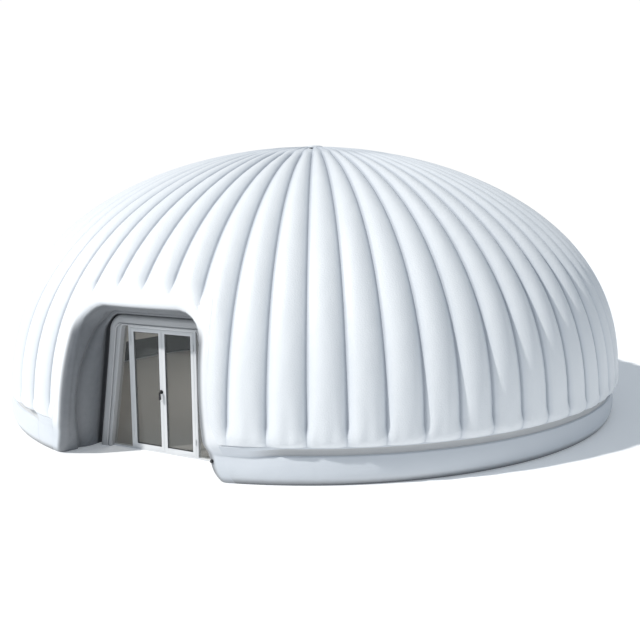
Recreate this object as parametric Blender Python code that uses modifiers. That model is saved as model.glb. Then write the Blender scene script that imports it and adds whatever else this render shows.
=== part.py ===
"""Inflatable dome tent: a double-walled ribbed dome on a base ring, with a recessed double door.

Metres, +Z up. The dome's axis is the Z axis, the ground is z = 0 and the entrance faces -Y.
An azimuth is counted from the entrance, towards +X.
"""

from math import asin, atan2, cos, hypot, pi, sin, sqrt, tan

import bmesh
import bpy
from mathutils import Matrix, Vector

# Gaps
seam_gap = 0.0003
web_gap = 0.0008
leaf_gap = 0.003
running_gap = 0.0005
pin_clearance = 0.0003
bolt_clearance = 0.001

# Dome
dome_height = 5.43
dome_radius = 6.585
rim_drop = 0.09
hem_rise = 0.04
crown_radius = 0.165
skin_thickness = 0.02
across_power = 1.94
upward_power = 2.38
rib_count = 68
front_ribs = 8
sector_ribs = 10
rib_depth_share = 0.14
skin_rows = 8
front_rib_steps = 4
back_rib_steps = 2

# Inner wall and the webs that hold it to the skin
liner_height = 4.82
liner_thickness = 0.015
liner_rows = 6
liner_step = 2
web_thickness = 0.008
web_crown_radius = 0.5

# Base ring
ring_radius = 6.5
ring_width = 0.53
ring_height = 0.43
band_height = 0.19
ring_bulge = 0.05
ring_edge = 0.05
lip_thickness = 0.1
lip_set_back = 0.07
sheet_thickness = 0.006

# Entrance arch in the dome's face: how far it is outside the surround, at the ground and at the top
opening_foot_step = 0.06
opening_top_step = 0.135
opening_rise = 0.185
opening_corner = 0.5
foot_flare = 0.14
border_width = 0.3
border_sink = 0.034
fade_width = 0.34
roll_radius = 0.17

# Padded surround of the door, at the back of the recess, and the light inside it
surround_foot_width = 0.25
surround_top_width = 0.25
surround_rise = 0.19
surround_corner = 0.33
side_light_foot = 0.425
side_light_top = 0.07
light_corner = 0.05
surround_front = 5.57
surround_back = 5.41
surround_edge = 0.03
bead_radius = 0.012
bead_set_in = 0.17

# Door frame and leaves
door_front = 5.49
door_half_width = 0.695
door_height = 2.165
frame_depth = 0.07
jamb_face = 0.045
head_face = 0.045
threshold_height = 0.03
leaf_thickness = 0.045
stile_face = 0.06
top_rail_face = 0.06
bottom_rail_face = 0.075
leaf_pane_thickness = 0.02
side_pane_thickness = 0.012

# Hinges
knuckle_radius = 0.009
knuckle_height = 0.032
hinge_pin_radius = 0.004
pin_head_radius = 0.0075
pin_head_height = 0.004
hinge_flap_width = 0.03
hinge_flap_thickness = 0.003
hinge_height_shares = (0.13, 0.86)

# Handle and lock
handle_height = 1.07
handle_length = 0.13
handle_reach = 0.05
handle_radius = 0.01
handle_bend = 0.022
spindle_radius = 0.005
lock_drop = 0.165
lock_radius = 0.0085
thumb_width = 0.03
thumb_height = 0.012
thumb_reach = 0.02
bolt_drop = 0.04
bolt_length = 0.05
bolt_width = 0.008
bolt_height = 0.02
bolt_throw = 0.02

# Valves and the crown cap
valve_flange_radius = 0.03
valve_flange_thickness = 0.006
valve_neck_radius = 0.018
valve_neck_length = 0.012
valve_cap_radius = 0.023
valve_cap_length = 0.014
vent_radius = 0.035
vent_height = 0.02
vent_distance = 1.5
vent_azimuth = 0.44
cap_radius = 0.2
cap_height = 0.06
cap_stem_depth = 0.05
cap_edge = 0.02

# Steps along round stretches
round_steps = 24
cap_steps = 34
small_steps = 16
leg_shares = (0, 0.105, 0.21, 0.3, 0.5, 0.75, 1)
leg_end = len(leg_shares) - 1
corner_steps = 5
top_steps = 4
cutter_overrun = 0.4

rib_angle = 2 * pi / rib_count
ring_inner = ring_radius - ring_width
liner_radius = ring_inner - seam_gap
rim_height = ring_height + band_height
widest_height = rim_height - rim_drop
lip_outer = ring_radius - lip_set_back
lip_top = rim_height + hem_rise + 2 * skin_thickness

light_foot = door_half_width + side_light_foot
light_top = door_half_width + side_light_top
surround_foot = light_foot + surround_foot_width
surround_top = light_top + surround_top_width
opening_foot = surround_foot + opening_foot_step
opening_top = surround_top + opening_top_step
surround_height = door_height + surround_rise
opening_height = surround_height + opening_rise
hinge_heights = [door_height * share for share in hinge_height_shares]

parts = bpy.data.collections.new("Inflatable dome tent")
cutters = bpy.data.collections.new("Cutters")


def clear_scene():
    for thing in list(bpy.data.objects):
        bpy.data.objects.remove(thing, do_unlink=True)
    for group in (parts, cutters):
        bpy.context.scene.collection.children.link(group)


def finish(name, colour, roughness, metallic=0.0, alpha=1.0):
    material = bpy.data.materials.new(name)
    material.use_nodes = True
    shader = material.node_tree.nodes["Principled BSDF"]
    shader.inputs["Base Color"].default_value = (*colour, 1.0)
    shader.inputs["Roughness"].default_value = roughness
    shader.inputs["Metallic"].default_value = metallic
    shader.inputs["Alpha"].default_value = alpha
    return material


white_skin = ((0.86, 0.88, 0.9), 0.45)
pale_liner = ((0.75, 0.76, 0.77), 0.55)
ring_skin = ((0.8, 0.83, 0.87), 0.42)
grey_pad = ((0.42, 0.43, 0.44), 0.6)
floor_sheet = ((0.45, 0.44, 0.42), 0.7)
door_paint = ((0.62, 0.64, 0.65), 0.35)
clear_glass = ((0.5, 0.53, 0.53), 0.05, 0.0, 0.35)
bright_steel = ((0.6, 0.6, 0.6), 0.3, 1.0)
black_plastic = ((0.02, 0.02, 0.022), 0.4)


def add(name, mesh, look, smooth=True, group=parts):
    """One named object that holds the mesh and its own material."""
    thing = bpy.data.objects.new(name, mesh)
    group.objects.link(thing)
    if look:
        mesh.materials.clear()
        mesh.materials.append(finish(name + "_finish", *look))
    if smooth:
        mesh.shade_smooth()
        mesh.set_sharp_from_angle(angle=pi / 6)
    return thing


def as_cutter(name, mesh):
    thing = add(name, mesh, None, smooth=False, group=cutters)
    thing.hide_render = True
    thing.display_type = "WIRE"
    return thing


def cut(thing, cutter, operation="DIFFERENCE"):
    step = thing.modifiers.new(cutter.name, "BOOLEAN")
    step.operation = operation
    step.solver = "EXACT"
    step.object = cutter


def mesh_from(shape, name):
    bmesh.ops.recalc_face_normals(shape, faces=shape.faces)
    mesh = bpy.data.meshes.new(name)
    shape.to_mesh(mesh)
    shape.free()
    return mesh


def box_mesh(name, low, high):
    low, high = Vector(low), Vector(high)
    size = high - low
    shape = bmesh.new()
    place = Matrix.Translation((low + high) / 2) @ Matrix.Diagonal((*size, 1))
    bmesh.ops.create_cube(shape, size=1, matrix=place)
    return mesh_from(shape, name)


def cylinder_mesh(name, centre, radius, length, along_y=False):
    """A round bar along Z, or along Y."""
    turn = Matrix.Rotation(pi / 2, 4, "X") if along_y else Matrix()
    shape = bmesh.new()
    bmesh.ops.create_cone(
        shape,
        cap_ends=True,
        segments=small_steps,
        radius1=radius,
        radius2=radius,
        depth=length,
        matrix=Matrix.Translation(centre) @ turn,
    )
    return mesh_from(shape, name)


def curve_to_mesh(curve, matrix):
    """The curve as a closed mesh in world places."""
    guide = bpy.data.objects.new(curve.name, curve)
    parts.objects.link(guide)
    guide.matrix_world = matrix
    bpy.context.view_layer.update()
    shown = guide.evaluated_get(bpy.context.evaluated_depsgraph_get())
    mesh = bpy.data.meshes.new_from_object(shown)
    mesh.transform(guide.matrix_world)
    bpy.data.objects.remove(guide)
    shape = bmesh.new()
    shape.from_mesh(mesh)
    bmesh.ops.remove_doubles(shape, verts=shape.verts, dist=seam_gap / 10)
    bpy.data.meshes.remove(mesh)
    return mesh_from(shape, curve.name)


def plate_mesh(name, outlines, thickness, matrix):
    """A flat plate with the outlines given, holes included, centred on the plane of the matrix."""
    curve = bpy.data.curves.new(name, "CURVE")
    curve.dimensions = "2D"
    curve.fill_mode = "BOTH"
    curve.extrude = thickness / 2
    for outline in outlines:
        line = curve.splines.new("POLY")
        line.points.add(len(outline) - 1)
        for point, (across, up) in zip(line.points, outline):
            point.co = (across, up, 0, 1)
        line.use_cyclic_u = True
    return curve_to_mesh(curve, matrix)


def tube_mesh(name, route, radius, ring_resolution=3):
    """A round bar along the route."""
    curve = bpy.data.curves.new(name, "CURVE")
    curve.dimensions = "3D"
    curve.bevel_depth = radius
    curve.bevel_resolution = ring_resolution
    curve.use_fill_caps = True
    line = curve.splines.new("POLY")
    line.points.add(len(route) - 1)
    for point, place in zip(line.points, route):
        point.co = (*place, 1)
    return curve_to_mesh(curve, Matrix())


def turned(name, profile, look, matrix, steps=round_steps):
    """A shape turned round the matrix's Z axis. The profile runs from the top, down its outer side."""
    mesh = bpy.data.meshes.new(name)
    points = [(out, 0, up) for out, up in profile]
    mesh.from_pydata(points, [(i, i + 1) for i in range(len(points) - 1)], [])
    thing = add(name, mesh, look, smooth=False)
    thing.matrix_world = matrix
    turn = thing.modifiers.new("Turn", "SCREW")
    turn.steps = steps
    turn.render_steps = steps
    turn.use_merge_vertices = True
    turn.merge_threshold = seam_gap / 10
    turn.use_smooth_shade = False
    return thing


def loft_mesh(name, sections):
    """A closed body through sections that have the same number of points, capped at both ends."""
    shape = bmesh.new()
    rings = [[shape.verts.new(point) for point in section] for section in sections]
    count = len(rings[0])
    for ring, after in zip(rings, rings[1:]):
        for i in range(count):
            j = (i + 1) % count
            shape.faces.new((ring[i], ring[j], after[j], after[i]))
    shape.faces.new(rings[0])
    shape.faces.new(rings[-1])
    return mesh_from(shape, name)


def panel_mesh(name, outer, inner):
    """A wall panel between a ribbed outer grid and a plainer inner grid of the same rows."""
    shape = bmesh.new()
    out = [[shape.verts.new(point) for point in row] for row in outer]
    back = [[shape.verts.new(point) for point in row] for row in inner]
    step = (len(out[0]) - 1) // (len(back[0]) - 1)
    for low, high in zip(out, out[1:]):
        for i in range(len(low) - 1):
            shape.faces.new((low[i], low[i + 1], high[i + 1], high[i]))
    for low, high in zip(back, back[1:]):
        for i in range(len(low) - 1):
            shape.faces.new((low[i + 1], low[i], high[i], high[i + 1]))
    for level in range(len(out) - 1):
        for side in (0, -1):
            corners = (out[level][side], out[level + 1][side], back[level + 1][side], back[level][side])
            shape.faces.new(corners)
    for row, behind in ((out[0], back[0]), (out[-1], back[-1])):
        for i in range(len(behind) - 1):
            first = i * step
            for j in range(first, first + step):
                anchor = behind[i] if j - first < (step + 1) // 2 else behind[i + 1]
                shape.faces.new((row[j], row[j + 1], anchor))
            middle = row[first + (step + 1) // 2]
            shape.faces.new((behind[i], middle, behind[i + 1]))
    return mesh_from(shape, name)


def at(azimuth, radius, height):
    return Vector((radius * sin(azimuth), -radius * cos(azimuth), height))


def profile_point(angle, radius, top):
    """A point of the dome's profile as radius and height, from its widest place (0) to the crown."""
    up = sin(angle) ** (2 / upward_power)
    return radius * cos(angle) ** (2 / across_power), widest_height + (top - widest_height) * up


def radius_at(height, radius, top):
    share = min(max((height - widest_height) / (top - widest_height), 0), 1)
    return radius * (1 - share**upward_power) ** (1 / across_power)


def angle_at_height(height, top):
    share = (height - widest_height) / (top - widest_height)
    return asin(share ** (upward_power / 2))


def angle_at_radius(distance, radius):
    return pi / 2 - asin((distance / radius) ** (across_power / 2))


def profile_rows(radius, top, low_angle, rows, inner_distance):
    high_angle = angle_at_radius(inner_distance, radius)
    angles = [low_angle + (high_angle - low_angle) * row / rows for row in range(rows + 1)]
    return [profile_point(angle, radius, top) for angle in angles]


def sunk(rows, index, depth):
    """A row's radius and height, moved into the dome square to the profile."""
    before, after = Vector(rows[max(index - 1, 0)]), Vector(rows[min(index + 1, len(rows) - 1)])
    along = (after - before).normalized()
    return Vector(rows[index]) + Vector((-along.y, along.x)) * depth


def arch_grown(arch, by):
    """The arch set out square to its edge."""
    foot, top, height, corner, flare = arch
    lean = atan2(height, foot - top)
    return foot + by / sin(lean), top + by * tan(lean / 2), height + by, corner + by, flare


def arch_points(arch):
    """The arch as (x, z) points from its left foot, over the top, to its right foot."""
    foot, top, height, corner, flare = arch
    lean = atan2(height, foot - top)
    leg = Vector((cos(lean), sin(lean)))
    start = Vector((-top, height)) - leg * (corner * tan(lean / 2))
    ground = Vector((-foot, 0))
    centre = start + Vector((sin(lean), -cos(lean))) * corner
    left = [ground + (start - ground) * share for share in leg_shares]
    for point in left:
        point.x -= flare * max(1 - point.y / ring_height, 0) ** 2
    for step in range(1, corner_steps + 1):
        turn = lean * (1 - step / corner_steps)
        left.append(centre + Vector((-sin(turn), cos(turn))) * corner)
    end = left[-1]
    across = [Vector((end.x * (1 - 2 * step / top_steps), end.y)) for step in range(1, top_steps)]
    right = [Vector((-point.x, point.y)) for point in reversed(left)]
    return left + across + right


def edge_x(arch, height):
    """How far from the middle the arch's leg is at a height."""
    points = arch_points(arch)
    for before, after in zip(points, points[1:]):
        if before.y <= height <= after.y:
            return -before.lerp(after, (height - before.y) / (after.y - before.y)).x
    return -points[leg_end].x


def arch_distance(arch, x, z):
    """How far outside the arch a point of the dome's face is, seen from the front."""
    foot, top, height, corner, _ = arch
    half_width = foot - (foot - top) * z / height
    sideways, upwards = abs(x) - half_width + corner, z - height + corner
    return hypot(max(sideways, 0), max(upwards, 0)) + min(max(sideways, upwards), 0) - corner


opening = (opening_foot, opening_top, opening_height, opening_corner, foot_flare)
border = arch_grown(opening, border_width)
surround = (surround_foot, surround_top, surround_height, surround_corner, 0)
light = (light_foot, light_top, door_height + seam_gap, light_corner, 0)


def lean_x(arch, height):
    """How far from the middle the arch's straight leg, drawn on past its corner, is at a height."""
    foot, top, arch_height, _, _ = arch
    return foot - (foot - top) * height / arch_height


def face_radius(height):
    """The radius of the smooth border round the entrance, which runs down into the base ring's face."""
    rim = radius_at(rim_height, dome_radius, dome_height) - border_sink
    if height >= rim_height:
        return radius_at(height, dome_radius, dome_height) - border_sink
    if height >= ring_height:
        share = (height - ring_height) / (rim_height - ring_height)
        return (ring_radius - ring_bulge) * (1 - share) + rim * share
    return ring_radius - ring_bulge * (2 * height / ring_height - 1) ** 2


def face_y(x, z):
    return -sqrt(face_radius(z) ** 2 - x**2)


def liner_y(x, z):
    return -sqrt(radius_at(z, liner_radius, liner_height) ** 2 - x**2)


# Skin and liner

skin_profile = profile_rows(
    dome_radius, dome_height, angle_at_height(rim_height, dome_height), skin_rows, crown_radius
)
liner_profile = [(liner_radius, sheet_thickness + seam_gap)] + profile_rows(
    liner_radius, liner_height, 0, liner_rows, crown_radius
)


def pillow(share):
    """How full a rib is across its width, 0 at the seams and 1 at the crest."""
    return 4 * share * (1 - share)


def rib_depth(radius):
    """How far the seams lie under the rib crests at a distance from the axis."""
    return rib_depth_share * radius * rib_angle


def skin_sink(azimuth, radius, height, fullness):
    """How far the skin lies under the rib crests. The ribs fade out towards the entrance border."""
    depth = rib_depth(radius)
    if cos(azimuth) <= 0:
        return depth * (1 - fullness)
    off = arch_distance(border, radius * sin(azimuth), height) / fade_width
    share = min(max(off, 0), 1)
    fade = share**2 * (3 - 2 * share)
    level = min(border_sink, depth)
    return depth * (1 - fullness) * fade + level * (1 - fade)


def nudged(azimuth, radius, height, towards):
    """A point moved half a seam gap off a panel's side."""
    return at(azimuth, radius, height) + Vector((cos(azimuth), sin(azimuth), 0)) * (towards * seam_gap / 2)


def skin_grid(first, count, rib_steps, behind):
    """The skin's points row by row, from the hem's turned-in edge to the crown."""
    columns = []
    for i in range(count * rib_steps + 1):
        towards = 1 if i == 0 else -1 if i == count * rib_steps else 0
        fullness = pillow((i / rib_steps) % 1)
        columns.append(((first + i / rib_steps) * rib_angle, towards, fullness))
    hem_height = rim_height + hem_rise + behind
    hem_radius = (lip_outer + seam_gap) / cos(rib_angle / back_rib_steps / 2)
    grid = [[nudged(azimuth, hem_radius, hem_height, towards) for azimuth, towards, _ in columns]]
    for row, (radius, height) in enumerate(skin_profile):
        line = []
        for azimuth, towards, fullness in columns:
            depth = skin_sink(azimuth, radius, height, fullness) + behind
            sunk_radius, sunk_height = sunk(skin_profile, row, depth)
            if row == 0:
                sunk_height = rim_height + hem_rise * (1 - fullness) + behind
            line.append(nudged(azimuth, sunk_radius, sunk_height, towards))
        grid.append(line)
    return grid


def skin_panel(name, first, count):
    """One welded panel of the outer skin, from seam number first."""
    outer = skin_grid(first, count, front_rib_steps, 0)
    inner = skin_grid(first, count, back_rib_steps, skin_thickness)
    return add(name, panel_mesh(name, outer, inner), white_skin)


def liner_panel(name, first, count):
    """One welded panel of the inner wall."""
    steps = count // liner_step
    grids = []
    for behind in (0, liner_thickness):
        grid = []
        for row in range(len(liner_profile)):
            radius, height = sunk(liner_profile, row, behind)
            line = []
            for i in range(steps + 1):
                azimuth = (first + i * liner_step) * rib_angle
                towards = 1 if i == 0 else -1 if i == steps else 0
                line.append(nudged(azimuth, radius, height, towards))
            grid.append(line)
        grids.append(grid)
    return add(name, panel_mesh(name, *grids), pale_liner)


def arch_cutter(name, arch):
    """A prism through the front wall with the arch's outline."""
    points = arch_points(arch)
    below = -cutter_overrun
    outline = [Vector((points[0].x, below))] + points + [Vector((points[-1].x, below))]
    near, far = -(dome_radius + cutter_overrun), -(surround_back - cutter_overrun)
    sections = [[Vector((point.x, depth, point.y)) for point in outline] for depth in (near, far)]
    return as_cutter(name, loft_mesh(name, sections))


def web(name, seam):
    """A flat web inside the wall, from the outer skin's seam to the liner."""
    outer = []
    for row, (radius, _) in enumerate(skin_profile):
        outer.append(sunk(skin_profile, row, rib_depth(radius) + skin_thickness + web_gap))
    inner = [sunk(liner_profile, row, -web_gap) for row in range(1, len(liner_profile))]
    foot = lip_top + seam_gap

    def trimmed(line):
        """The line between the web's foot and its crown end."""
        kept = []
        for before, after in zip(line, line[1:]):
            if before.y < foot <= after.y:
                kept.append(before.lerp(after, (foot - before.y) / (after.y - before.y)))
            if after.y > foot and after.x > web_crown_radius:
                kept.append(after)
            if before.x > web_crown_radius >= after.x:
                kept.append(before.lerp(after, (before.x - web_crown_radius) / (before.x - after.x)))
        return kept

    outline = trimmed(outer) + list(reversed(trimmed(inner)))
    plane = Matrix.Rotation(seam * rib_angle - pi / 2, 4, "Z") @ Matrix.Rotation(pi / 2, 4, "X")
    return add(name, plate_mesh(name, [outline], web_thickness, plane), pale_liner, smooth=False)


# Base ring

ring_section = (
    (ring_inner, ring_edge),
    (ring_inner + ring_edge, 0),
    (ring_radius - ring_bulge, 0),
    (ring_radius - ring_bulge / 4, ring_height / 4),
    (ring_radius, ring_height / 2),
    (ring_radius - ring_bulge / 4, ring_height - ring_height / 4),
    (ring_radius - ring_bulge, ring_height),
    (lip_outer, ring_height + ring_edge / 2),
    (lip_outer, lip_top),
    (lip_outer - lip_thickness, lip_top),
    (lip_outer - lip_thickness, ring_height),
    (ring_inner, ring_height),
)


def ring_segment(name, first, last, open_start=False, open_end=False):
    """One tube of the base ring. An end at the entrance lies along the entrance border."""
    def entrance_end(side):
        points = []
        for radius, height in ring_section:
            x = edge_x(border, height) + seam_gap
            reach = radius - seam_gap
            points.append(Vector((side * x, -sqrt(reach**2 - x**2), height)))
        return points

    sections = [entrance_end(1)] if open_start else []
    for number in range(first, last + 1):
        towards = 1 if number == first and not open_start else 0
        towards = -1 if number == last and not open_end else towards
        azimuth = number * rib_angle
        sections.append([nudged(azimuth, radius, height, towards) for radius, height in ring_section])
    if open_end:
        sections.append(entrance_end(-1))
    return add(name, loft_mesh(name, sections), ring_skin)


def ground_sheet(name):
    """The floor inside the ring, cut out where the recess reaches in."""
    reach = ring_inner - seam_gap
    half = edge_x(border, 0) + seam_gap
    first = int(asin(half / reach) / rib_angle) + 1
    right = [Vector((half, -sqrt(reach**2 - half**2) + seam_gap))]
    for number in range(first, rib_count // 2 + 1):
        place = at(number * rib_angle, reach, 0)
        right.append(Vector((place.x, place.y)))
    left = [Vector((-point.x, point.y)) for point in reversed(right[:-1])]
    notch_half, notch_front = surround_foot + seam_gap, -surround_front + seam_gap
    notch_back = -(surround_back - seam_gap)
    notch = [Vector((-notch_half, notch_front)), Vector((-notch_half, notch_back))]
    notch += [Vector((notch_half, notch_back)), Vector((notch_half, notch_front))]
    plane = Matrix.Translation((0, 0, sheet_thickness / 2))
    mesh = plate_mesh(name, [right + left + notch], sheet_thickness, plane)
    return add(name, mesh, floor_sheet, smooth=False)


# Entrance: pads that close the wall round the recess, surround and bead

def recess_share(x, z, y):
    """How far along the recess a place is, from the dome's face (0) to the surround (1)."""
    start = face_y(x, z)
    return min(max((y - start) / (-surround_front - start), 0), 1)


def pad_sections():
    """The wall's end round the recess, station by station from the left foot to the right foot."""
    edge = arch_points(opening)
    back = arch_points(surround)
    flank = arch_points(border)
    shoulder = arch_points(arch_grown(opening, roll_radius))
    bend = roll_radius * (1 - cos(pi / 4))
    turn = arch_points(arch_grown(opening, bend))
    sections = []
    for o, d, f, s, t in zip(edge, back, flank, shoulder, turn):
        inner_y = max(liner_y(o.x, o.y), -surround_front - seam_gap)
        inner = o.lerp(d, recess_share(o.x, o.y, inner_y))
        sections.append(
            [
                Vector((f.x, face_y(f.x, f.y), f.y)),
                Vector((s.x, face_y(s.x, s.y), s.y)),
                Vector((t.x, face_y(t.x, t.y) + bend, t.y)),
                Vector((o.x, face_y(o.x, o.y) + roll_radius, o.y)),
                Vector((inner.x, inner_y, inner.y)),
                Vector((f.x, liner_y(f.x, f.y), f.y)),
            ]
        )
    return sections


def band_pieces(base, sections, look):
    """An arch band as two legs and a top, a seam gap apart."""
    last_station = len(sections) - 1
    spans = {
        "left": (0, leg_end),
        "top": (leg_end, last_station - leg_end),
        "right": (last_station - leg_end, last_station),
    }
    for end, (first, last) in spans.items():
        chosen = [list(section) for section in sections[first : last + 1]]
        if end == "top":
            for index, beside in ((0, 1), (-1, -2)):
                gap_share = seam_gap / (chosen[beside][0] - chosen[index][0]).length
                chosen[index] = [p.lerp(q, gap_share) for p, q in zip(chosen[index], chosen[beside])]
        add(base + "_" + end, loft_mesh(base + "_" + end, chosen), look)


def surround_sections():
    outer = arch_points(arch_grown(surround, -seam_gap))
    inner = arch_points(light)
    front, back = -surround_front, -surround_back
    sections = []
    for o, i in zip(outer, inner):
        chamfer = surround_edge / (o - i).length
        o_in, i_out = o.lerp(i, chamfer), i.lerp(o, chamfer)
        sections.append(
            [
                Vector((o.x, front + surround_edge, o.y)),
                Vector((o_in.x, front, o_in.y)),
                Vector((i_out.x, front, i_out.y)),
                Vector((i.x, front + surround_edge, i.y)),
                Vector((i.x, back, i.y)),
                Vector((o.x, back, o.y)),
            ]
        )
    return sections


def bead(name):
    """The welt along the surround's front face."""
    outer, inner = arch_points(surround), arch_points(light)
    depth = -surround_front - bead_radius - running_gap
    route = []
    for o, i in zip(outer, inner):
        place = o.lerp(i, bead_set_in / (o - i).length)
        route.append(Vector((place.x, depth, max(place.y, bead_radius))))
    return add(name, tube_mesh(name, route, bead_radius, ring_resolution=1), grey_pad)


# Door

frame_back = -(door_front - frame_depth)
leaf_front = -door_front
leaf_back = leaf_front + leaf_thickness
hinge_x = door_half_width - jamb_face - leaf_gap / 2
hinge_y = leaf_front - knuckle_radius - running_gap
leaf_low = threshold_height + leaf_gap
leaf_high = door_height - head_face - leaf_gap
leaf_hinge_edge = hinge_x - leaf_gap / 2
leaf_meeting_edge = leaf_gap / 2


def hinge_pieces(side, height, fixed):
    """Meshes that one hinge adds to the jamb (fixed) or to the leaf: knuckles and their flaps."""
    centre = Vector((side * hinge_x, hinge_y, height))
    reach = (side if fixed else -side) * hinge_flap_width
    x_ends = sorted((centre.x, centre.x + reach))
    half_height = knuckle_height / 2 - running_gap
    pieces = []
    for level in (-1, 1) if fixed else (0,):
        middle = centre + Vector((0, 0, level * (knuckle_height + running_gap)))
        pieces.append(cylinder_mesh("knuckle", middle, knuckle_radius, knuckle_height))
        low = (x_ends[0], leaf_front - hinge_flap_thickness, middle.z - half_height)
        high = (x_ends[1], leaf_front + hinge_flap_thickness / 2, middle.z + half_height)
        pieces.append(box_mesh("flap", low, high))
    return pieces


def with_hinges(thing, side, fixed):
    for number, height in enumerate(hinge_heights):
        for index, mesh in enumerate(hinge_pieces(side, height, fixed)):
            label = thing.name + "_hinge_" + str(number) + "_" + str(index)
            cut(thing, as_cutter(label, mesh), "UNION")
        bore_length = 4 * knuckle_height
        bore = cylinder_mesh(
            "bore", (side * hinge_x, hinge_y, height), hinge_pin_radius + pin_clearance, bore_length
        )
        cut(thing, as_cutter(thing.name + "_bore_" + str(number), bore))
    return thing


def hinge_pin(name, side, height):
    low = -1.5 * knuckle_height - running_gap
    high = -low + running_gap
    profile = (
        (0, high + pin_head_height),
        (pin_head_radius, high + pin_head_height),
        (pin_head_radius, high),
        (hinge_pin_radius, high),
        (hinge_pin_radius, low),
        (0, low),
    )
    place = Matrix.Translation((side * hinge_x, hinge_y, height))
    return turned(name, profile, bright_steel, place, steps=small_steps)


def jamb(name, side):
    x_ends = sorted((side * door_half_width, side * (door_half_width - jamb_face)))
    low = (x_ends[0], leaf_front, threshold_height + seam_gap)
    high = (x_ends[1], frame_back, door_height)
    return with_hinges(add(name, box_mesh(name, low, high), door_paint, smooth=False), side, True)


def leaf_frame(name, side):
    edge, centre = leaf_hinge_edge, leaf_meeting_edge
    outer = ((centre, leaf_low), (edge, leaf_low), (edge, leaf_high), (centre, leaf_high))
    inner_low, inner_high = leaf_low + bottom_rail_face, leaf_high - top_rail_face
    near, far = centre + stile_face, edge - stile_face
    hole = ((near, inner_low), (far, inner_low), (far, inner_high), (near, inner_high))
    outlines = [[(side * x, z) for x, z in line] for line in (outer, hole)]
    plane = Matrix.Translation((0, (leaf_front + leaf_back) / 2, 0)) @ Matrix.Rotation(pi / 2, 4, "X")
    mesh = plate_mesh(name, outlines, leaf_thickness, plane)
    return with_hinges(add(name, mesh, door_paint, smooth=False), side, False)


def leaf_pane(name, side):
    near = leaf_meeting_edge + stile_face + seam_gap
    far = leaf_hinge_edge - stile_face - seam_gap
    x_ends = sorted((side * near, side * far))
    middle = (leaf_front + leaf_back) / 2
    low = (x_ends[0], middle - leaf_pane_thickness / 2, leaf_low + bottom_rail_face + seam_gap)
    high = (x_ends[1], middle + leaf_pane_thickness / 2, leaf_high - top_rail_face - seam_gap)
    return add(name, box_mesh(name, low, high), clear_glass, smooth=False)


def side_pane(name, side):
    """The fixed glass between a jamb and the leaning edge of the surround."""
    jamb_edge = door_half_width + seam_gap
    low, high = threshold_height + seam_gap, door_height - seam_gap
    corner = light_corner
    foot_x = lean_x(light, low) - running_gap
    lean_top = high - corner
    outline = [
        (side * jamb_edge, low),
        (side * foot_x, low),
        (side * (lean_x(light, lean_top) - running_gap), lean_top),
        (side * (lean_x(light, high) - corner), high),
        (side * jamb_edge, high),
    ]
    middle = (leaf_front + leaf_back) / 2
    plane = Matrix.Translation((0, middle, 0)) @ Matrix.Rotation(pi / 2, 4, "X")
    return add(name, plate_mesh(name, [outline], side_pane_thickness, plane), clear_glass, smooth=False)


def door_frame():
    jamb("jamb_left", -1)
    jamb("jamb_right", 1)
    inner = door_half_width - jamb_face - seam_gap
    low = (-inner, leaf_front, door_height - head_face)
    head = box_mesh("frame_head", low, (inner, frame_back, door_height))
    add("frame_head", head, door_paint, smooth=False)
    reach = lean_x(light, threshold_height) - seam_gap
    sill = box_mesh("threshold", (-reach, leaf_front, 0), (reach, frame_back, threshold_height))
    add("threshold", sill, door_paint, smooth=False)
    side_pane("side_light_left", -1)
    side_pane("side_light_right", 1)


# Handle and lock, on the left leaf's meeting stile

lock_x = -(leaf_meeting_edge + stile_face / 2)
lock_z = handle_height - lock_drop
bolt_z = lock_z - bolt_drop
leaf_middle_y = (leaf_front + leaf_back) / 2


def bolt_box(name, gap, start, end):
    half_width, half_height = bolt_width / 2 + gap, bolt_height / 2 + gap
    low = (start, leaf_middle_y - half_width, bolt_z - half_height)
    return box_mesh(name, low, (end, leaf_middle_y + half_width, bolt_z + half_height))


def lock_holes(left_leaf, right_leaf):
    reach = leaf_thickness + 2 * leaf_gap
    spindle_hole = cylinder_mesh(
        "spindle_hole", (lock_x, leaf_middle_y, handle_height), spindle_radius + pin_clearance, reach, True
    )
    cut(left_leaf, as_cutter("spindle_hole", spindle_hole))
    lock_hole = cylinder_mesh(
        "lock_hole", (lock_x, leaf_middle_y, lock_z), lock_radius + pin_clearance, reach, True
    )
    cut(left_leaf, as_cutter("lock_hole", lock_hole))
    back = -(leaf_meeting_edge + bolt_length + bolt_clearance)
    cut(left_leaf, as_cutter("bolt_slot", bolt_box("bolt_slot", bolt_clearance / 2, back, 0)))
    depth = leaf_meeting_edge + bolt_throw + bolt_clearance
    cut(right_leaf, as_cutter("bolt_pocket", bolt_box("bolt_pocket", bolt_clearance, 0, depth)))


def handle_route(side):
    """The handle leaves the stile square, bends and hangs down."""
    face = leaf_front - seam_gap if side < 0 else leaf_back + seam_gap
    reach = face + side * handle_reach
    bend_y, bend_z = reach - side * handle_bend, handle_height - handle_bend
    route = [Vector((lock_x, face, handle_height)), Vector((lock_x, bend_y, handle_height))]
    steps = small_steps // 4
    for step in range(1, steps + 1):
        turn = pi / 2 * step / steps
        route.append(
            Vector((lock_x, bend_y + side * handle_bend * sin(turn), bend_z + handle_bend * cos(turn)))
        )
    route.append(Vector((lock_x, reach, handle_height - handle_length)))
    return route


def pivot(name, place):
    """An empty on a joint's axis."""
    empty = bpy.data.objects.new(name, None)
    parts.objects.link(empty)
    empty.location = place
    return empty


def hang(empty, things):
    for thing in things:
        thing.parent = empty
        thing.matrix_parent_inverse = Matrix.Translation(empty.location).inverted()


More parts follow.
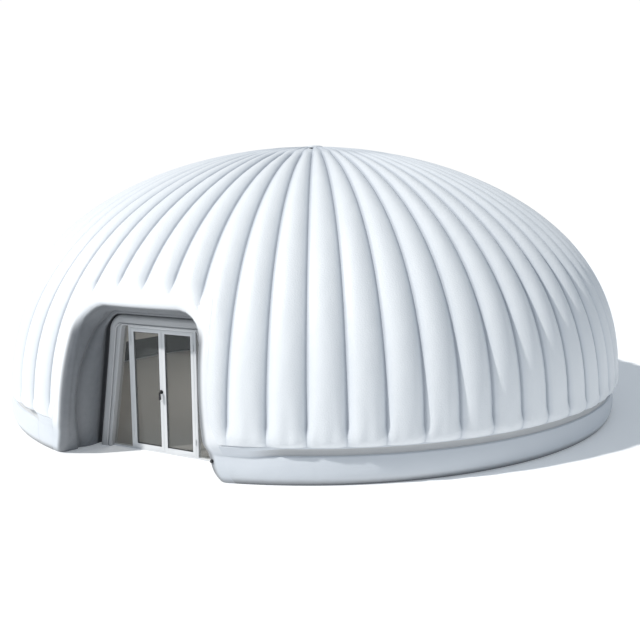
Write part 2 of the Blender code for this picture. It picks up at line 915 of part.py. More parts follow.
def door_leaves():
    leaves = {}
    for side, label in ((-1, "left"), (1, "right")):
        frame = leaf_frame("leaf_frame_" + label, side)
        pane = leaf_pane("leaf_glass_" + label, side)
        axis = pivot(label + "_leaf_axis", (side * hinge_x, hinge_y, hinge_heights[0]))
        hang(axis, (frame, pane))
        leaves[label] = frame
        for height, level in zip(hinge_heights, ("low", "high")):
            hinge_pin("hinge_pin_" + label + "_" + level, side, height)
    lock_holes(leaves["left"], leaves["right"])

    handles = []
    for side, label in ((-1, "handle_outside"), (1, "handle_inside")):
        handles.append(add(label, tube_mesh(label, handle_route(side), handle_radius), black_plastic))
    spindle = cylinder_mesh(
        "handle_spindle", (lock_x, leaf_middle_y, handle_height), spindle_radius, leaf_thickness, True
    )
    spindle = add("handle_spindle", spindle, bright_steel)
    hang(pivot("handle_axis", (lock_x, leaf_middle_y, handle_height)), (*handles, spindle))

    barrel = cylinder_mesh(
        "lock_cylinder", (lock_x, leaf_middle_y, lock_z), lock_radius, leaf_thickness + 2 * seam_gap, True
    )
    add("lock_cylinder", barrel, bright_steel)
    thumb_start = leaf_back + 2 * seam_gap
    low = (lock_x - thumb_height / 2, thumb_start, lock_z - thumb_width / 2)
    high = (lock_x + thumb_height / 2, thumb_start + thumb_reach, lock_z + thumb_width / 2)
    thumb = add("thumb_turn", box_mesh("thumb_turn", low, high), black_plastic, smooth=False)
    edge = thumb.modifiers.new("Rounded edges", "BEVEL")
    edge.width = thumb_height / 4
    edge.segments = 2
    hang(pivot("thumb_turn_axis", (lock_x, leaf_back, lock_z)), (thumb,))
    start = -(leaf_meeting_edge + bolt_length)
    bolt = add("dead_bolt", bolt_box("dead_bolt", 0, start, -leaf_meeting_edge), bright_steel, smooth=False)
    hang(pivot("bolt_axis", (start, leaf_middle_y, bolt_z)), (bolt,))


# Valves and the crown cap

def valve(sections):
    """The filling valve, on the rolled edge at the foot of the right pad."""
    low, high = sections[-2], sections[-3]
    corners = [low[1], low[2], high[2], high[1]]
    centre = sum(corners, Vector()) / len(corners)
    normal = (low[2] - low[1]).cross(high[1] - low[1]).normalized()
    if normal.y > 0:
        normal = -normal
    turn = normal.to_track_quat("Z", "Y").to_matrix().to_4x4()
    seat = Matrix.Translation(centre + normal * web_gap) @ turn
    neck_top = valve_flange_thickness + valve_neck_length
    body = (
        (0, neck_top),
        (valve_neck_radius, neck_top),
        (valve_neck_radius, valve_flange_thickness),
        (valve_flange_radius, valve_flange_thickness),
        (valve_flange_radius, 0),
        (0, 0),
    )
    turned("valve_body", body, black_plastic, seat)
    start = neck_top + seam_gap
    cap_top = start + valve_cap_length
    rounding = valve_cap_length / 4
    cap = (
        (0, cap_top),
        (valve_cap_radius - rounding, cap_top),
        (valve_cap_radius, cap_top - rounding),
        (valve_cap_radius, start),
        (0, start),
    )
    turned("valve_cap", cap, black_plastic, seat)


def radius_height(distance):
    """The height of the faceted rib crests at a distance from the axis."""
    for (far, low), (near, high) in zip(skin_profile, skin_profile[1:]):
        if near <= distance <= far:
            return low + (high - low) * (far - distance) / (far - near)
    return skin_profile[-1][1]


def crown():
    """The cap over the gores' ends, and the vent beside it."""
    seat = skin_profile[-1][1] + seam_gap
    top = seat + cap_height
    stem = crown_radius - cap_edge
    profile = (
        (0, top),
        (cap_radius - cap_edge, top - cap_edge / 2),
        (cap_radius, seat + cap_height / 2),
        (cap_radius, seat),
        (stem, seat),
        (stem, seat - cap_stem_depth),
        (0, seat - cap_stem_depth),
    )
    turned("crown_cap", profile, white_skin, Matrix(), steps=cap_steps)
    height = radius_height(vent_distance)
    base = at(vent_azimuth, vent_distance, height)
    slope = at(vent_azimuth, vent_distance + vent_radius, radius_height(vent_distance + vent_radius)) - base
    side = Vector((cos(vent_azimuth), sin(vent_azimuth), 0))
    normal = side.cross(slope).normalized()
    if normal.z < 0:
        normal = -normal
    turn = normal.to_track_quat("Z", "Y").to_matrix().to_4x4()
    rounding = vent_height / 4
    vent = (
        (0, vent_height),
        (vent_radius - rounding, vent_height),
        (vent_radius, vent_height - rounding),
        (vent_radius, 0),
        (0, 0),
    )
    turned("relief_valve", vent, black_plastic, Matrix.Translation(base + normal * seam_gap) @ turn)


def build():
    clear_scene()
    half = front_ribs // 2
    front_skin = skin_panel("outer_skin_front", -half, front_ribs)
    front_liner = liner_panel("inner_wall_front", -half, front_ribs)
    hole = arch_cutter("entrance_hole", arch_grown(border, seam_gap))
    cut(front_skin, hole)
    cut(front_liner, hole)
    starts = range(half, rib_count - half, sector_ribs)
    labels = ("right_front", "right_side", "right_back", "left_back", "left_side", "left_front")
    for start, label in zip(starts, labels):
        skin_panel("outer_skin_" + label, start, sector_ribs)
        liner_panel("inner_wall_" + label, start, sector_ribs)
        ring_segment(
            "base_ring_" + label,
            start,
            start + sector_ribs,
            open_start=start == half,
            open_end=start + sector_ribs == rib_count - half,
        )
    for number, start in enumerate([*starts, rib_count - half]):
        web("wall_web_" + str(number + 1), start)
    ground_sheet("ground_sheet")
    sections = pad_sections()
    band_pieces("recess_pad", sections, white_skin)
    band_pieces("door_surround", surround_sections(), grey_pad)
    bead("surround_bead")
    door_frame()
    door_leaves()
    valve(sections)
    crown()


build()
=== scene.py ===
"""Looks of the inflatable dome tent: ribbed skin, base ring, recessed entrance and glazed door.

Metres, +Z up. The dome's axis is the Z axis, the ground is z = 0 and the entrance faces -Y.
An azimuth is counted from the entrance, towards +X.
"""

from math import atan2, cos, pi, radians, sin, tan

import bpy
import numpy as np
from mathutils import Matrix, Vector


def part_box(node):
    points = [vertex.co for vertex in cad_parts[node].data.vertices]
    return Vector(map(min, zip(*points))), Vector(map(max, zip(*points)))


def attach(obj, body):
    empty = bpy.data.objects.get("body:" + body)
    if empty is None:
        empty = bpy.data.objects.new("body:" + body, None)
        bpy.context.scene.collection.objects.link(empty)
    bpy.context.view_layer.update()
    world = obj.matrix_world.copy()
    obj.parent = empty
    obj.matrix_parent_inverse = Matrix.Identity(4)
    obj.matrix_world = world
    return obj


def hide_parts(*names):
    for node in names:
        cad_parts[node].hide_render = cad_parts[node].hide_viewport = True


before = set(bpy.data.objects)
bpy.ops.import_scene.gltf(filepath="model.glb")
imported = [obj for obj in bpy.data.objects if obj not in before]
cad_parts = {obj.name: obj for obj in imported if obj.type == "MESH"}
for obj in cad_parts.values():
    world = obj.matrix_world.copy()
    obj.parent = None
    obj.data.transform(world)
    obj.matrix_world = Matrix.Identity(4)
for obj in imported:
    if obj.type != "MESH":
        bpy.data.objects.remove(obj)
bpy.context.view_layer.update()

# Dome, as in the solids
dome_height = 5.43
dome_radius = 6.585
widest_height = 0.53
rim_height = 0.62
crown_radius = 0.165
across_power = 1.94
upward_power = 2.38
rib_count = 68
rib_angle = 2 * pi / rib_count
front_ribs = 8
sector_ribs = 10
sectors = ("right_front", "right_side", "right_back", "left_back", "left_side", "left_front")
rib_depth_share = 0.14
liner_height = 4.82
liner_radius = 5.9697
web_foot = 0.72
web_end = radians(81)

# Base ring
ring_inner = 5.97
ring_radius = 6.5
ring_height = 0.43
face_top = 0.425
band_radius = 6.415
lip_radius = 6.44
ring_seat = ring_inner + 0.004
ring_back = ((6.33, 0.6), (6.33, 0.43), (ring_seat, 0.43), (ring_seat, 0.05), (6.03, 0.002))
valve_height = 0.36
valve_saddle = 0.02

# Skin detail
rib_columns = 20
skin_rows = 112
liner_columns = 6
profile_shares = np.linspace(0, 1, 49)[:, None]
hem_rows = 10
hem_start = 0.76
hem_low = 0.592
hem_scallop = 0.012
hem_depth_share = 0.3
pucker_depth = 0.004
pucker_pitches = (0.19, 0.53)
fan_depth = 0.005
sag_depth = 0.004
liner_pucker = 0.035
skin_cloth = 0.002
web_cloth = 0.001
sheet_cloth = 0.003
panel_fullness = 1.12
crown_collar = (1.2, 2.35)
collar_depth_share = 0.15
crown_depth_gain = 0.7
crown_depth_reach = 1.6

# Entrance arches: half width at the ground and at the top, height, corner radius, foot flare
opening = (1.43, 1.15, 2.54, 0.5, 0.14)
surround = (1.37, 1.015, 2.355, 0.33, 0)
light = (1.12, 0.765, 2.1653, 0.05, 0)
flare_height = 0.7
border_width = 0.3
slim_border = 0.2
border_sink = 0.034
hidden_border = 0.06
fade_start = 0.17
fade_width = 0.36
roll_radius = 0.17
surround_front = 5.57
surround_back = 5.41
surround_round = 0.055
surround_depth = 0.075
bead_set_in = 0.17
bead_radius = 0.012
recess_groove = 0.075
recess_bulge = 0.075
crease_dip = -0.05
groove_start = radians(17.5)
groove_width = radians(6.5)

# Padding: the cloth simulation's frames and pressure, the grid columns that it may move,
# and how far at most
puff_frames = 20
puff_pressure = 4.0
roll_free = ((21, 52),)
roll_most = 0.012
surround_free = ((2, 19), (22, -7))
surround_most = 0.006

# Finishes: depths of the fabric's bumps, and where its tints and its painted shade begin and end
fold_depth = 0.012
grain_depth = 0.004
thread_depth = 0.0002
fine_thread = 0.004
sheet_thread = 0.012
weld_and_shade_reach = (0.003, 0.052)
shade_reach = (0.0, 0.13)
crown_shade_reach = (1.5, 2.6)
ring_weld_reach = (0.0006, 0.0022)
contact_shadow_reach = (-0.01, 0.13)
smooth_whites = ((0.88, 0.89, 0.905), (0.83, 0.85, 0.87))

random = np.random.default_rng(11)
rib_phases = random.uniform(0, 2 * pi, (rib_count, 4))


# Shader maths

class Value:
    """A number socket that takes Python's operators."""

    def __init__(self, finish, socket):
        self.finish, self.socket = finish, socket

    def maths(self, operation, *values):
        node = self.finish.node("ShaderNodeMath", {"operation": operation}, dict(enumerate(values)))
        return Value(self.finish, node.outputs[0])

    def __add__(self, other):
        return self.maths("ADD", self, other)

    def __sub__(self, other):
        return self.maths("SUBTRACT", self, other)

    def __rsub__(self, other):
        return self.maths("SUBTRACT", other, self)

    def __mul__(self, other):
        return self.maths("MULTIPLY", self, other)

    def __pow__(self, other):
        return self.maths("POWER", self, other)

    def __abs__(self):
        return self.maths("ABSOLUTE", self)

    __radd__ = __add__

    def sine(self):
        return self.maths("SINE", self)

    def between(self, low, high):
        """0 at low, 1 at high, and smooth in between."""
        inputs = {"Value": self, "From Min": low, "From Max": high}
        node = self.finish.node("ShaderNodeMapRange", {"interpolation_type": "SMOOTHSTEP"}, inputs)
        return Value(self.finish, node.outputs["Result"])


class Finish:
    """One material: its Principled shader, and the nodes that vary it."""

    def __init__(self, name, **constants):
        self.material = bpy.data.materials.new(name)
        self.material.use_nodes = True
        self.tree = self.material.node_tree
        self.shader = self.tree.nodes["Principled BSDF"]
        for socket, value in constants.items():
            self.shader.inputs[socket.replace("_", " ")].default_value = value

    def node(self, kind, settings=(), inputs=()):
        made = self.tree.nodes.new(kind)
        for name, value in dict(settings).items():
            setattr(made, name, value)
        for key, value in dict(inputs).items():
            socket = made.inputs[key]
            if isinstance(value, Value):
                value = value.socket
            if isinstance(value, bpy.types.NodeSocket):
                self.tree.links.new(value, socket)
            else:
                socket.default_value = value
        return made

    def place(self):
        """Where a point is on the piece."""
        return self.node("ShaderNodeTexCoord").outputs["Object"]

    def cloth_place(self):
        """Where a point is on the flat cloth, in metres."""
        return self.node("ShaderNodeUVMap", {"uv_map": "Cloth"}).outputs["UV"]

    def parts(self, vector):
        made = self.node("ShaderNodeSeparateXYZ", {}, {0: vector})
        return [Value(self, socket) for socket in made.outputs]

    def attribute(self, name):
        made = self.node("ShaderNodeAttribute", {"attribute_name": name})
        return Value(self, made.outputs["Fac"])

    def noise(self, vector, scale, detail=3, roughness=0.55):
        inputs = {"Vector": vector, "Scale": scale, "Detail": detail, "Roughness": roughness}
        return Value(self, self.node("ShaderNodeTexNoise", {}, inputs).outputs["Fac"])

    def stretched(self, vector, scale):
        return self.node("ShaderNodeMapping", {}, {"Vector": vector, "Scale": scale}).outputs[0]

    def blend(self, share, first, second):
        """The colour between two others. The node keeps the share between 0 and 1."""
        pair = [(*colour, 1) if isinstance(colour, tuple) else colour for colour in (first, second)]
        inputs = {"Factor": share, 6: pair[0], 7: pair[1]}
        return self.node("ShaderNodeMix", {"data_type": "RGBA"}, inputs).outputs[2]

    def bump(self, height, depth, after=None):
        inputs = {"Height": height, "Distance": depth, "Strength": 1.0}
        if after is not None:
            inputs["Normal"] = after
        return self.node("ShaderNodeBump", {}, inputs).outputs["Normal"]

    def set(self, socket, value):
        value = value.socket if isinstance(value, Value) else value
        self.tree.links.new(value, self.shader.inputs[socket])


def weave(across, along, pitch):
    """A plain weave's height, from 0 to 1, with threads a pitch apart."""
    turn = 2 * pi / pitch
    return (across * turn).sine() * (along * turn).sine() * 0.5 + 0.5


def soiled(finish, colour, place, dirt, height, strength):
    """The colour with a splash of dirt up to a height over the ground."""
    z = finish.parts(place)[2]
    share = (1 - z.between(0, height)) * finish.noise(place, 7, 4) * strength
    return finish.blend(share, colour, dirt)


def skin_finish(name):
    """White coated fabric with a weld along each rib's seam, darkened as painted shade in the
    seam's valley, with painted shade beside each seam and on the top round the crown.
    """
    finish = Finish(name, Sheen_Weight=0.12, Sheen_Roughness=0.4, Specular_IOR_Level=0.42)
    place, cloth = finish.place(), finish.cloth_place()
    seam = finish.attribute("seam")
    grain = finish.noise(cloth, 16, 5)
    # The weld's mask: the weld's own gloss, and a dark tint that is partly painted shade in the
    # seam's valley.
    weld = 1 - seam.between(*weld_and_shade_reach)
    across, along, _ = finish.parts(place)
    from_axis = (across * across + along * along) ** 0.5
    colour = finish.blend(finish.noise(place, 0.55, 4), (0.8, 0.825, 0.85), (0.84, 0.86, 0.88))
    # Tints: the fabric's grain; painted shade beside each seam; the weld, partly its own tone and
    # partly painted shade in the valley; painted shade on the top round the crown.
    for share, tint in (
        (grain * 0.2, (0.77, 0.8, 0.83)),
        ((1 - seam.between(*shade_reach)) * 0.42, (0.54, 0.59, 0.66)),
        (weld * 0.66, (0.33, 0.36, 0.41)),
        # Painted shade on the flat top round the crown.
        ((1 - from_axis.between(*crown_shade_reach)) * 0.3, (0.6, 0.64, 0.7)),
    ):
        colour = finish.blend(share, colour, tint)
    finish.set("Base Color", soiled(finish, colour, place, (0.55, 0.54, 0.5), 1.0, 0.16))
    finish.set("Roughness", 0.38 + grain * 0.12 + weld * 0.12)
    folds = finish.noise(finish.stretched(cloth, (1.3, 0.8, 1)), 2.6, 3, 0.4)
    normal = finish.bump(folds, fold_depth)
    normal = finish.bump(finish.noise(cloth, 40, 2, 0.6), grain_depth, normal)
    threads = weave(*finish.parts(cloth)[:2], fine_thread)
    finish.set("Normal", finish.bump(threads, thread_depth, normal))
    return finish.material


def smooth_fabric(name, light_colour, dark_colour, roughness=0.42, wrinkle=fold_depth):
    """Coated fabric without ribs, patterned on the piece's own place."""
    finish = Finish(name, Sheen_Weight=0.12, Sheen_Roughness=0.4, Specular_IOR_Level=0.4)
    place = finish.place()
    grain = finish.noise(place, 22, 5)
    colour = finish.blend(finish.noise(place, 0.9, 5), dark_colour, light_colour)
    finish.colour = finish.blend(grain * 0.22, colour, dark_colour)
    finish.set("Base Color", soiled(finish, finish.colour, place, (0.5, 0.48, 0.44), 0.35, 0.25))
    finish.set("Roughness", roughness + grain * 0.15)
    folds = finish.noise(finish.stretched(place, (1, 1, 0.45)), 3.0, 5, 0.5)
    across, along, up = finish.parts(place)
    threads = weave(across + along, up, fine_thread)
    finish.normal = finish.bump(threads, thread_depth, finish.bump(folds, wrinkle))
    finish.set("Normal", finish.normal)
    return finish


def ring_finish(name, welds):
    """The base ring's fabric, with painted shade on the set-back band under the hem, a painted
    contact shadow at the ground, and welds: an azimuth and a strength each.
    """
    finish = smooth_fabric(name, (0.67, 0.7, 0.74), (0.62, 0.655, 0.695))
    place = finish.place()
    across, along, up = finish.parts(place)
    azimuth = across.maths("ARCTAN2", across, along * -1)
    marks = [(1 - abs(azimuth - weld).between(*ring_weld_reach)) * share for weld, share in welds]
    line = sum(marks[1:], marks[0]) * up.between(0.06, 0.1)
    # The set-back band: partly its own greyer tone, mostly painted shade under the overhanging hem.
    colour = finish.blend(finish.attribute("band") * 0.75, finish.colour, (0.48, 0.472, 0.465))
    colour = finish.blend(line * 0.4, colour, (0.5, 0.53, 0.57))
    colour = soiled(finish, colour, place, (0.45, 0.44, 0.41), 0.22, 0.4)
    # Painted contact shadow along the ground.
    contact_shadow = (1 - up.between(*contact_shadow_reach)) * 0.9
    finish.set("Base Color", finish.blend(contact_shadow, colour, (0.11, 0.115, 0.125)))
    finish.set("Normal", finish.bump(1 - line, 0.006, finish.normal))
    return finish.material


def roll_finish(name):
    """The entrance's fabric: white round the opening, grey from the roll inwards, where the grey is
    partly the cloth's own and partly painted shade of the recess.
    """
    finish = smooth_fabric(name, *smooth_whites)
    place = finish.place()
    up, inner = finish.parts(place)[2], finish.attribute("inner")
    dark = finish.blend(finish.noise(place, 9, 4), (0.185, 0.195, 0.21), (0.235, 0.245, 0.26))
    # Darker towards the ground: partly the ring's greyer tone, partly painted shade low on the
    # roll.
    outside = finish.blend(up.between(0.3, 0.8), (0.63, 0.665, 0.705), finish.colour)
    # Painted contact shadow along the ground.
    contact_shadow = (1 - up.between(*contact_shadow_reach)) * 0.75
    outside = finish.blend(contact_shadow, outside, (0.16, 0.165, 0.18))
    # Grey inside the recess: partly the cloth's own, partly painted shade.
    colour = finish.blend(inner, outside, dark)
    # Beyond 1: darker still, painted shade in the crease and in the groove.
    finish.set("Base Color", finish.blend(inner - 1, colour, (0.075, 0.078, 0.085)))
    return finish.material


def liner_finish(name):
    """The inner wall: pale cloth over a dark skirting."""
    finish = smooth_fabric(name, (0.66, 0.65, 0.63), (0.58, 0.57, 0.55), 0.55, 0.01)
    up = finish.parts(finish.place())[2]
    skirt = 1 - up.between(0.53, 0.56)
    finish.set("Base Color", finish.blend(skirt, finish.colour, (0.035, 0.033, 0.032)))
    return finish.material


def floor_finish(name):
    """Woven groundsheet, brown-grey, with trodden patches."""
    finish = Finish(name, Specular_IOR_Level=0.25)
    place = finish.place()
    threads = weave(*finish.parts(place)[:2], sheet_thread)
    patches = finish.noise(place, 0.8, 6)
    colour = finish.blend(patches, (0.27, 0.258, 0.24), (0.37, 0.355, 0.33))
    colour = finish.blend(threads * 0.3, colour, (0.15, 0.14, 0.13))
    finish.set("Base Color", colour)
    finish.set("Roughness", 0.6 + patches * 0.25)
    finish.set("Normal", finish.bump(threads + patches * 3, 0.002))
    return finish.material


def paint_finish(name, colour, worn):
    """Satin powder coat with a fine orange peel."""
    finish = Finish(name, Coat_Weight=0.15, Coat_Roughness=0.2)
    place = finish.place()
    peel, clouds = finish.noise(place, 420, 2), finish.noise(place, 3.5, 5)
    scuffs = finish.noise(finish.stretched(place, (1, 1, 6)), 30, 4).between(0.62, 0.78)
    base = finish.blend(clouds, colour, tuple(0.93 * part for part in colour))
    finish.set("Base Color", finish.blend(scuffs * 0.25, base, worn))
    finish.set("Roughness", 0.3 + clouds * 0.1 + scuffs * 0.2)
    finish.set("Normal", finish.bump(peel, 0.0004))
    return finish.material


def glass_finish(name):
    """Clear glass with a faint film of dust."""
    finish = Finish(name, Base_Color=(0.2, 0.22, 0.22, 1), Specular_IOR_Level=0.5)
    place = finish.place()
    film = finish.noise(finish.stretched(place, (1, 1, 0.4)), 5, 5)
    low = 1 - finish.parts(place)[2].between(0.1, 0.6)
    finish.set("Roughness", 0.02 + film * 0.05)
    finish.set("Alpha", 0.13 + film * 0.05 + low * 0.05)
    return finish.material


def metal_finish(name, colour, grain_scale, roughness):
    """Brushed metal."""
    finish = Finish(name, Metallic=1.0)
    place = finish.place()
    brush = finish.noise(finish.stretched(place, grain_scale), 60, 4)
    finish.set("Base Color", finish.blend(brush, colour, tuple(0.8 * part for part in colour)))
    finish.set("Roughness", roughness + brush * 0.2)
    finish.set("Normal", finish.bump(brush, 0.0003))
    return finish.material


def plastic_finish(name, colour, roughness=0.35):
    """Moulded plastic with a fine grain and rubbed edges."""
    finish = Finish(name)
    place = finish.place()
    grain, wear = finish.noise(place, 700, 2), finish.noise(place, 25, 5)
    paler = tuple(2.2 * part + 0.01 for part in colour)
    finish.set("Base Color", finish.blend(wear.between(0.5, 0.8) * 0.5, colour, paler))
    finish.set("Roughness", roughness + grain * 0.2)
    finish.set("Normal", finish.bump(grain, 0.0002))
    return finish.material


# Shapes

def smooth_step(value, start=0.0, width=1.0):
    """0 up to the start, 1 a width further on, and smooth in between."""
    share = np.clip((value - start) / width, 0, 1)
    return share * share * (3 - 2 * share)


def mix(first, second, share):
    return first + (second - first) * share


def activate(thing):
    """Makes the thing the one that the operators work on."""
    bpy.ops.object.select_all(action="DESELECT")
    thing.select_set(True)
    bpy.context.view_layer.objects.active = thing


def added(name, data):
    """A new object in the scene."""
    thing = bpy.data.objects.new(name, data)
    bpy.context.scene.collection.objects.link(thing)
    return thing


def cloth_object(
    name, points, look, closed=False, flip=False, cloth=None, marks=None, capped=False
):
    """A surface through rows of points. A closed one joins each row's ends."""
    rows, columns = points.shape[:2]
    index = np.arange(rows * columns).reshape(rows, columns)
    if closed:
        index = np.concatenate([index, index[:, :1]], axis=1)
    quads = np.stack([index[:-1, :-1], index[:-1, 1:], index[1:, 1:], index[1:, :-1]], axis=-1)
    quads = quads.reshape(-1, 4)
    if flip:
        quads = quads[:, ::-1]
    faces = quads.tolist()
    if capped:
        ends = [index[0, :columns].tolist(), index[-1, :columns][::-1].tolist()]
        faces += [end[::-1] if not flip else end for end in ends]
    mesh = bpy.data.meshes.new(name)
    mesh.from_pydata(points.reshape(-1, 3).tolist(), [], faces)
    mesh.update()
    if cloth is not None:
        layer = mesh.uv_layers.new(name="Cloth")
        layer.data.foreach_set("uv", cloth.astype(np.float32).ravel())
    for label, values in (marks or {}).items():
        layer = mesh.attributes.new(label, "FLOAT", "POINT")
        layer.data.foreach_set("value", values.astype(np.float32).ravel())
    thing = added(name, mesh)
    mesh.materials.append(look)
    mesh.shade_smooth()
    if capped:
        row = edge_ends(mesh) // columns
        sharpen(mesh, (row[:, 0] == row[:, 1]) & ((row[:, 0] == 0) | (row[:, 0] == rows - 1)))
    return thing


def edge_ends(mesh):
    """The two vertices of each edge, one row each."""
    ends = np.empty(len(mesh.edges) * 2, int)
    mesh.edges.foreach_get("vertices", ends)
    return ends.reshape(-1, 2)


def sharpen(mesh, chosen):
    mesh.attributes.new("sharp_edge", "BOOLEAN", "EDGE").data.foreach_set("value", chosen)


def crease_seams(mesh, columns, spacing):
    """Sharpens the edges along every seam of a grid, so that the weld reads as a crisp valley."""
    column = edge_ends(mesh) % columns
    sharpen(mesh, (column[:, 0] == column[:, 1]) & (column[:, 0] % spacing == 0))


def puffed(thing, shape, free, most):
    """The padding presses the cloth out by up to a cap, in the ranges of columns that are free."""
    mesh = thing.data
    held = np.ones(shape, bool)
    for first, last in free:
        held[1:-1, first:last] = False
    before, after = np.empty((2, len(mesh.vertices) * 3))
    mesh.vertices.foreach_get("co", before)
    thing.vertex_groups.new(name="held").add(np.flatnonzero(held).tolist(), 1.0, "REPLACE")
    cloth = thing.modifiers.new("Cloth", "CLOTH")
    cloth.settings.quality = 4
    cloth.settings.vertex_group_mass = "held"
    cloth.settings.use_pressure = True
    cloth.settings.uniform_pressure_force = puff_pressure
    cloth.settings.effector_weights.gravity = 0
    cloth.collision_settings.use_collision = False
    for number in range(puff_frames):
        bpy.context.scene.frame_set(number + 1)
    apply_all(thing)
    bpy.context.scene.frame_set(1)
    mesh.vertices.foreach_get("co", after)
    move = (after - before).reshape(-1, 3)
    length = np.linalg.norm(move, axis=1)
    move *= np.minimum(1, most / np.maximum(length, 1e-9))[:, None]
    mesh.vertices.foreach_set("co", (before.reshape(-1, 3) + move).ravel())
    mesh.update()


def thicken(thing, thickness):
    """Gives a sheet its cloth's thickness, on its inner side."""
    step = thing.modifiers.new("Cloth thickness", "SOLIDIFY")
    step.thickness = thickness
    step.offset = -1
    return thing


def repainted(mesh, look):
    mesh.materials.clear()
    mesh.materials.append(look)


def settle(thing, body, slot, *nodes):
    """Says which body the thing moves with and the nodes it replaces. Its material slot is not
    used.
    """
    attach(thing, body)
    if nodes:
        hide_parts(*nodes)
    return thing


def at(azimuth, radius, height):
    azimuth, radius, height = np.broadcast_arrays(azimuth, radius, height)
    return np.stack([radius * np.sin(azimuth), -radius * np.cos(azimuth), height], axis=-1)


def profile(angle, radius, top):
    """The dome's profile as radius and height, from its widest place (0) to the crown."""
    up = np.sin(angle) ** (2 / upward_power)
    return radius * np.cos(angle) ** (2 / across_power), widest_height + (top - widest_height) * up


def inward(angle, radius, top):
    """The unit direction into the dome, as radius and height."""
    step = 1e-4
    low, high = np.maximum(angle - step, 1e-6), np.minimum(angle + step, pi / 2)
    before, after = profile(low, radius, top), profile(high, radius, top)
    along = np.array([after[0] - before[0], after[1] - before[1]])
    along = along / np.maximum(np.linalg.norm(along, axis=0), 1e-12)
    return -along[1], along[0]


def angle_at_height(height, top):
    share = np.clip((height - widest_height) / (top - widest_height), 0, 1)
    return np.arcsin(share ** (upward_power / 2))


def crown_angle(radius):
    """Where the profile ends, under the crown cap."""
    return pi / 2 - np.arcsin((crown_radius / radius) ** (across_power / 2))


def radius_at(height, radius, top):
    share = np.clip((height - widest_height) / (top - widest_height), 0, 1)
    return radius * (1 - share**upward_power) ** (1 / across_power)


def arch_distance(arch, x, z):
    """How far outside the arch a point of the dome's face is, seen from the front."""
    foot, top, height, corner, _ = arch
    half_width = foot - (foot - top) * z / height
    sideways, upwards = np.abs(x) - half_width + corner, z - height + corner
    outside = np.hypot(np.maximum(sideways, 0), np.maximum(upwards, 0))
    return outside + np.minimum(np.maximum(sideways, upwards), 0) - corner


def arch_grown(arch, by):
    foot, top, height, corner, flare = arch
    lean = atan2(height, foot - top)
    return foot + by / sin(lean), top + by * tan(lean / 2), height + by, corner + by, flare


leg_steps = 60
corner_steps = 20
top_steps = 30
leg_shares = (np.arange(leg_steps + 1) / leg_steps) ** 1.25


def arch_line(arch):
    """The arch as (x, z) points from its left foot, over the top, to its right foot."""
    foot, top, height, corner, flare = arch
    lean = atan2(height, foot - top)
    start = np.array([-top, height]) - np.array([cos(lean), sin(lean)]) * (corner * tan(lean / 2))
    centre = start + np.array([sin(lean), -cos(lean)]) * corner
    leg = np.array([-foot, 0.0]) + leg_shares[:, None] * (start - np.array([-foot, 0.0]))
    leg[:, 0] -= flare * np.maximum(1 - leg[:, 1] / flare_height, 0) ** 2
    turn = lean * (1 - np.arange(1, corner_steps + 1) / corner_steps)
    bend = centre + np.stack([-np.sin(turn), np.cos(turn)], axis=1) * corner
    left = np.concatenate([leg, bend])
    share = np.arange(1, top_steps) / top_steps
    across = np.stack([left[-1, 0] * (1 - 2 * share), np.full(top_steps - 1, left[-1, 1])], axis=1)
    return np.concatenate([left, across, (left * [-1, 1])[::-1]])


def edge_x(arch, height):
    """How far from the middle the arch's leg is at a height."""
    leg = arch_line(arch)[: leg_steps + 1]
    return -np.interp(height, leg[:, 1], leg[:, 0])


border = arch_grown(opening, border_width)
start_heights = np.linspace(rim_height, 3.2, 1200)


def border_width_at(height):
    """How wide the smooth border is. It is narrower above the rim than at the base ring."""
    return mix(border_width, slim_border, smooth_step(height, rim_height, 0.4))


def border_line(share, beyond=0.0):
    """A line along the smooth border, from the roll (0) to the ribs (1) and beyond."""
    offsets = (mix(roll_radius, width, share) + beyond for width in (border_width, slim_border))
    wide, slim = (arch_line(arch_grown(opening, offset)) for offset in offsets)
    return mix(wide, slim, smooth_step(wide[:, 1], rim_height, 0.4)[:, None])


def collar_share(radius):
    """1 in the middle of the collar near the crown, 0 at its edges."""
    low, high = crown_collar
    return 1 - smooth_step(np.abs(radius - (low + high) / 2) / ((high - low) / 2))


def rib_depth(radius):
    """How far the seams lie under the rib crests. The collar draws the ribs flatter."""
    beyond = np.maximum(radius - crown_collar[1], 0)
    gain = 1 + crown_depth_gain * np.exp(-beyond / crown_depth_reach)
    flatter = 1 - (1 - collar_depth_share) * collar_share(radius)
    return rib_depth_share * radius * rib_angle * gain * flatter


def fullness(share, height):
    """How full a rib is across its width. Towards the hem it is flatter, with steeper sides."""
    power = 2.0 + 1.7 * np.exp(-np.maximum(height - rim_height, 0) / 0.42)
    return 1 - np.abs(2 * share - 1) ** power


def hem_fade(height):
    """How deep the seams still are towards the hem, where the ribs run into a smooth edge."""
    return mix(hem_depth_share, 1.0, smooth_step(height, 0.68, 0.26))


def entrance_fade(azimuth, radius, height):
    """0 on the smooth border round the entrance, 1 where the ribs are full."""
    off = arch_distance(opening, radius * np.sin(azimuth), height)
    fade = smooth_step(off, fade_start, fade_width)
    return np.where(np.cos(azimuth) > 0, fade, 1.0)


def groove_share(azimuth):
    """0 by the entrance, where the skin runs smoothly down into the ring, and 1 all round."""
    turned = np.abs((azimuth + pi) % (2 * pi) - pi)
    return smooth_step(turned, groove_start, groove_width)


def rib_phase(azimuth, number):
    rib = np.floor(azimuth / rib_angle + 1e-6).astype(int) % rib_count
    return rib_phases[rib, number]


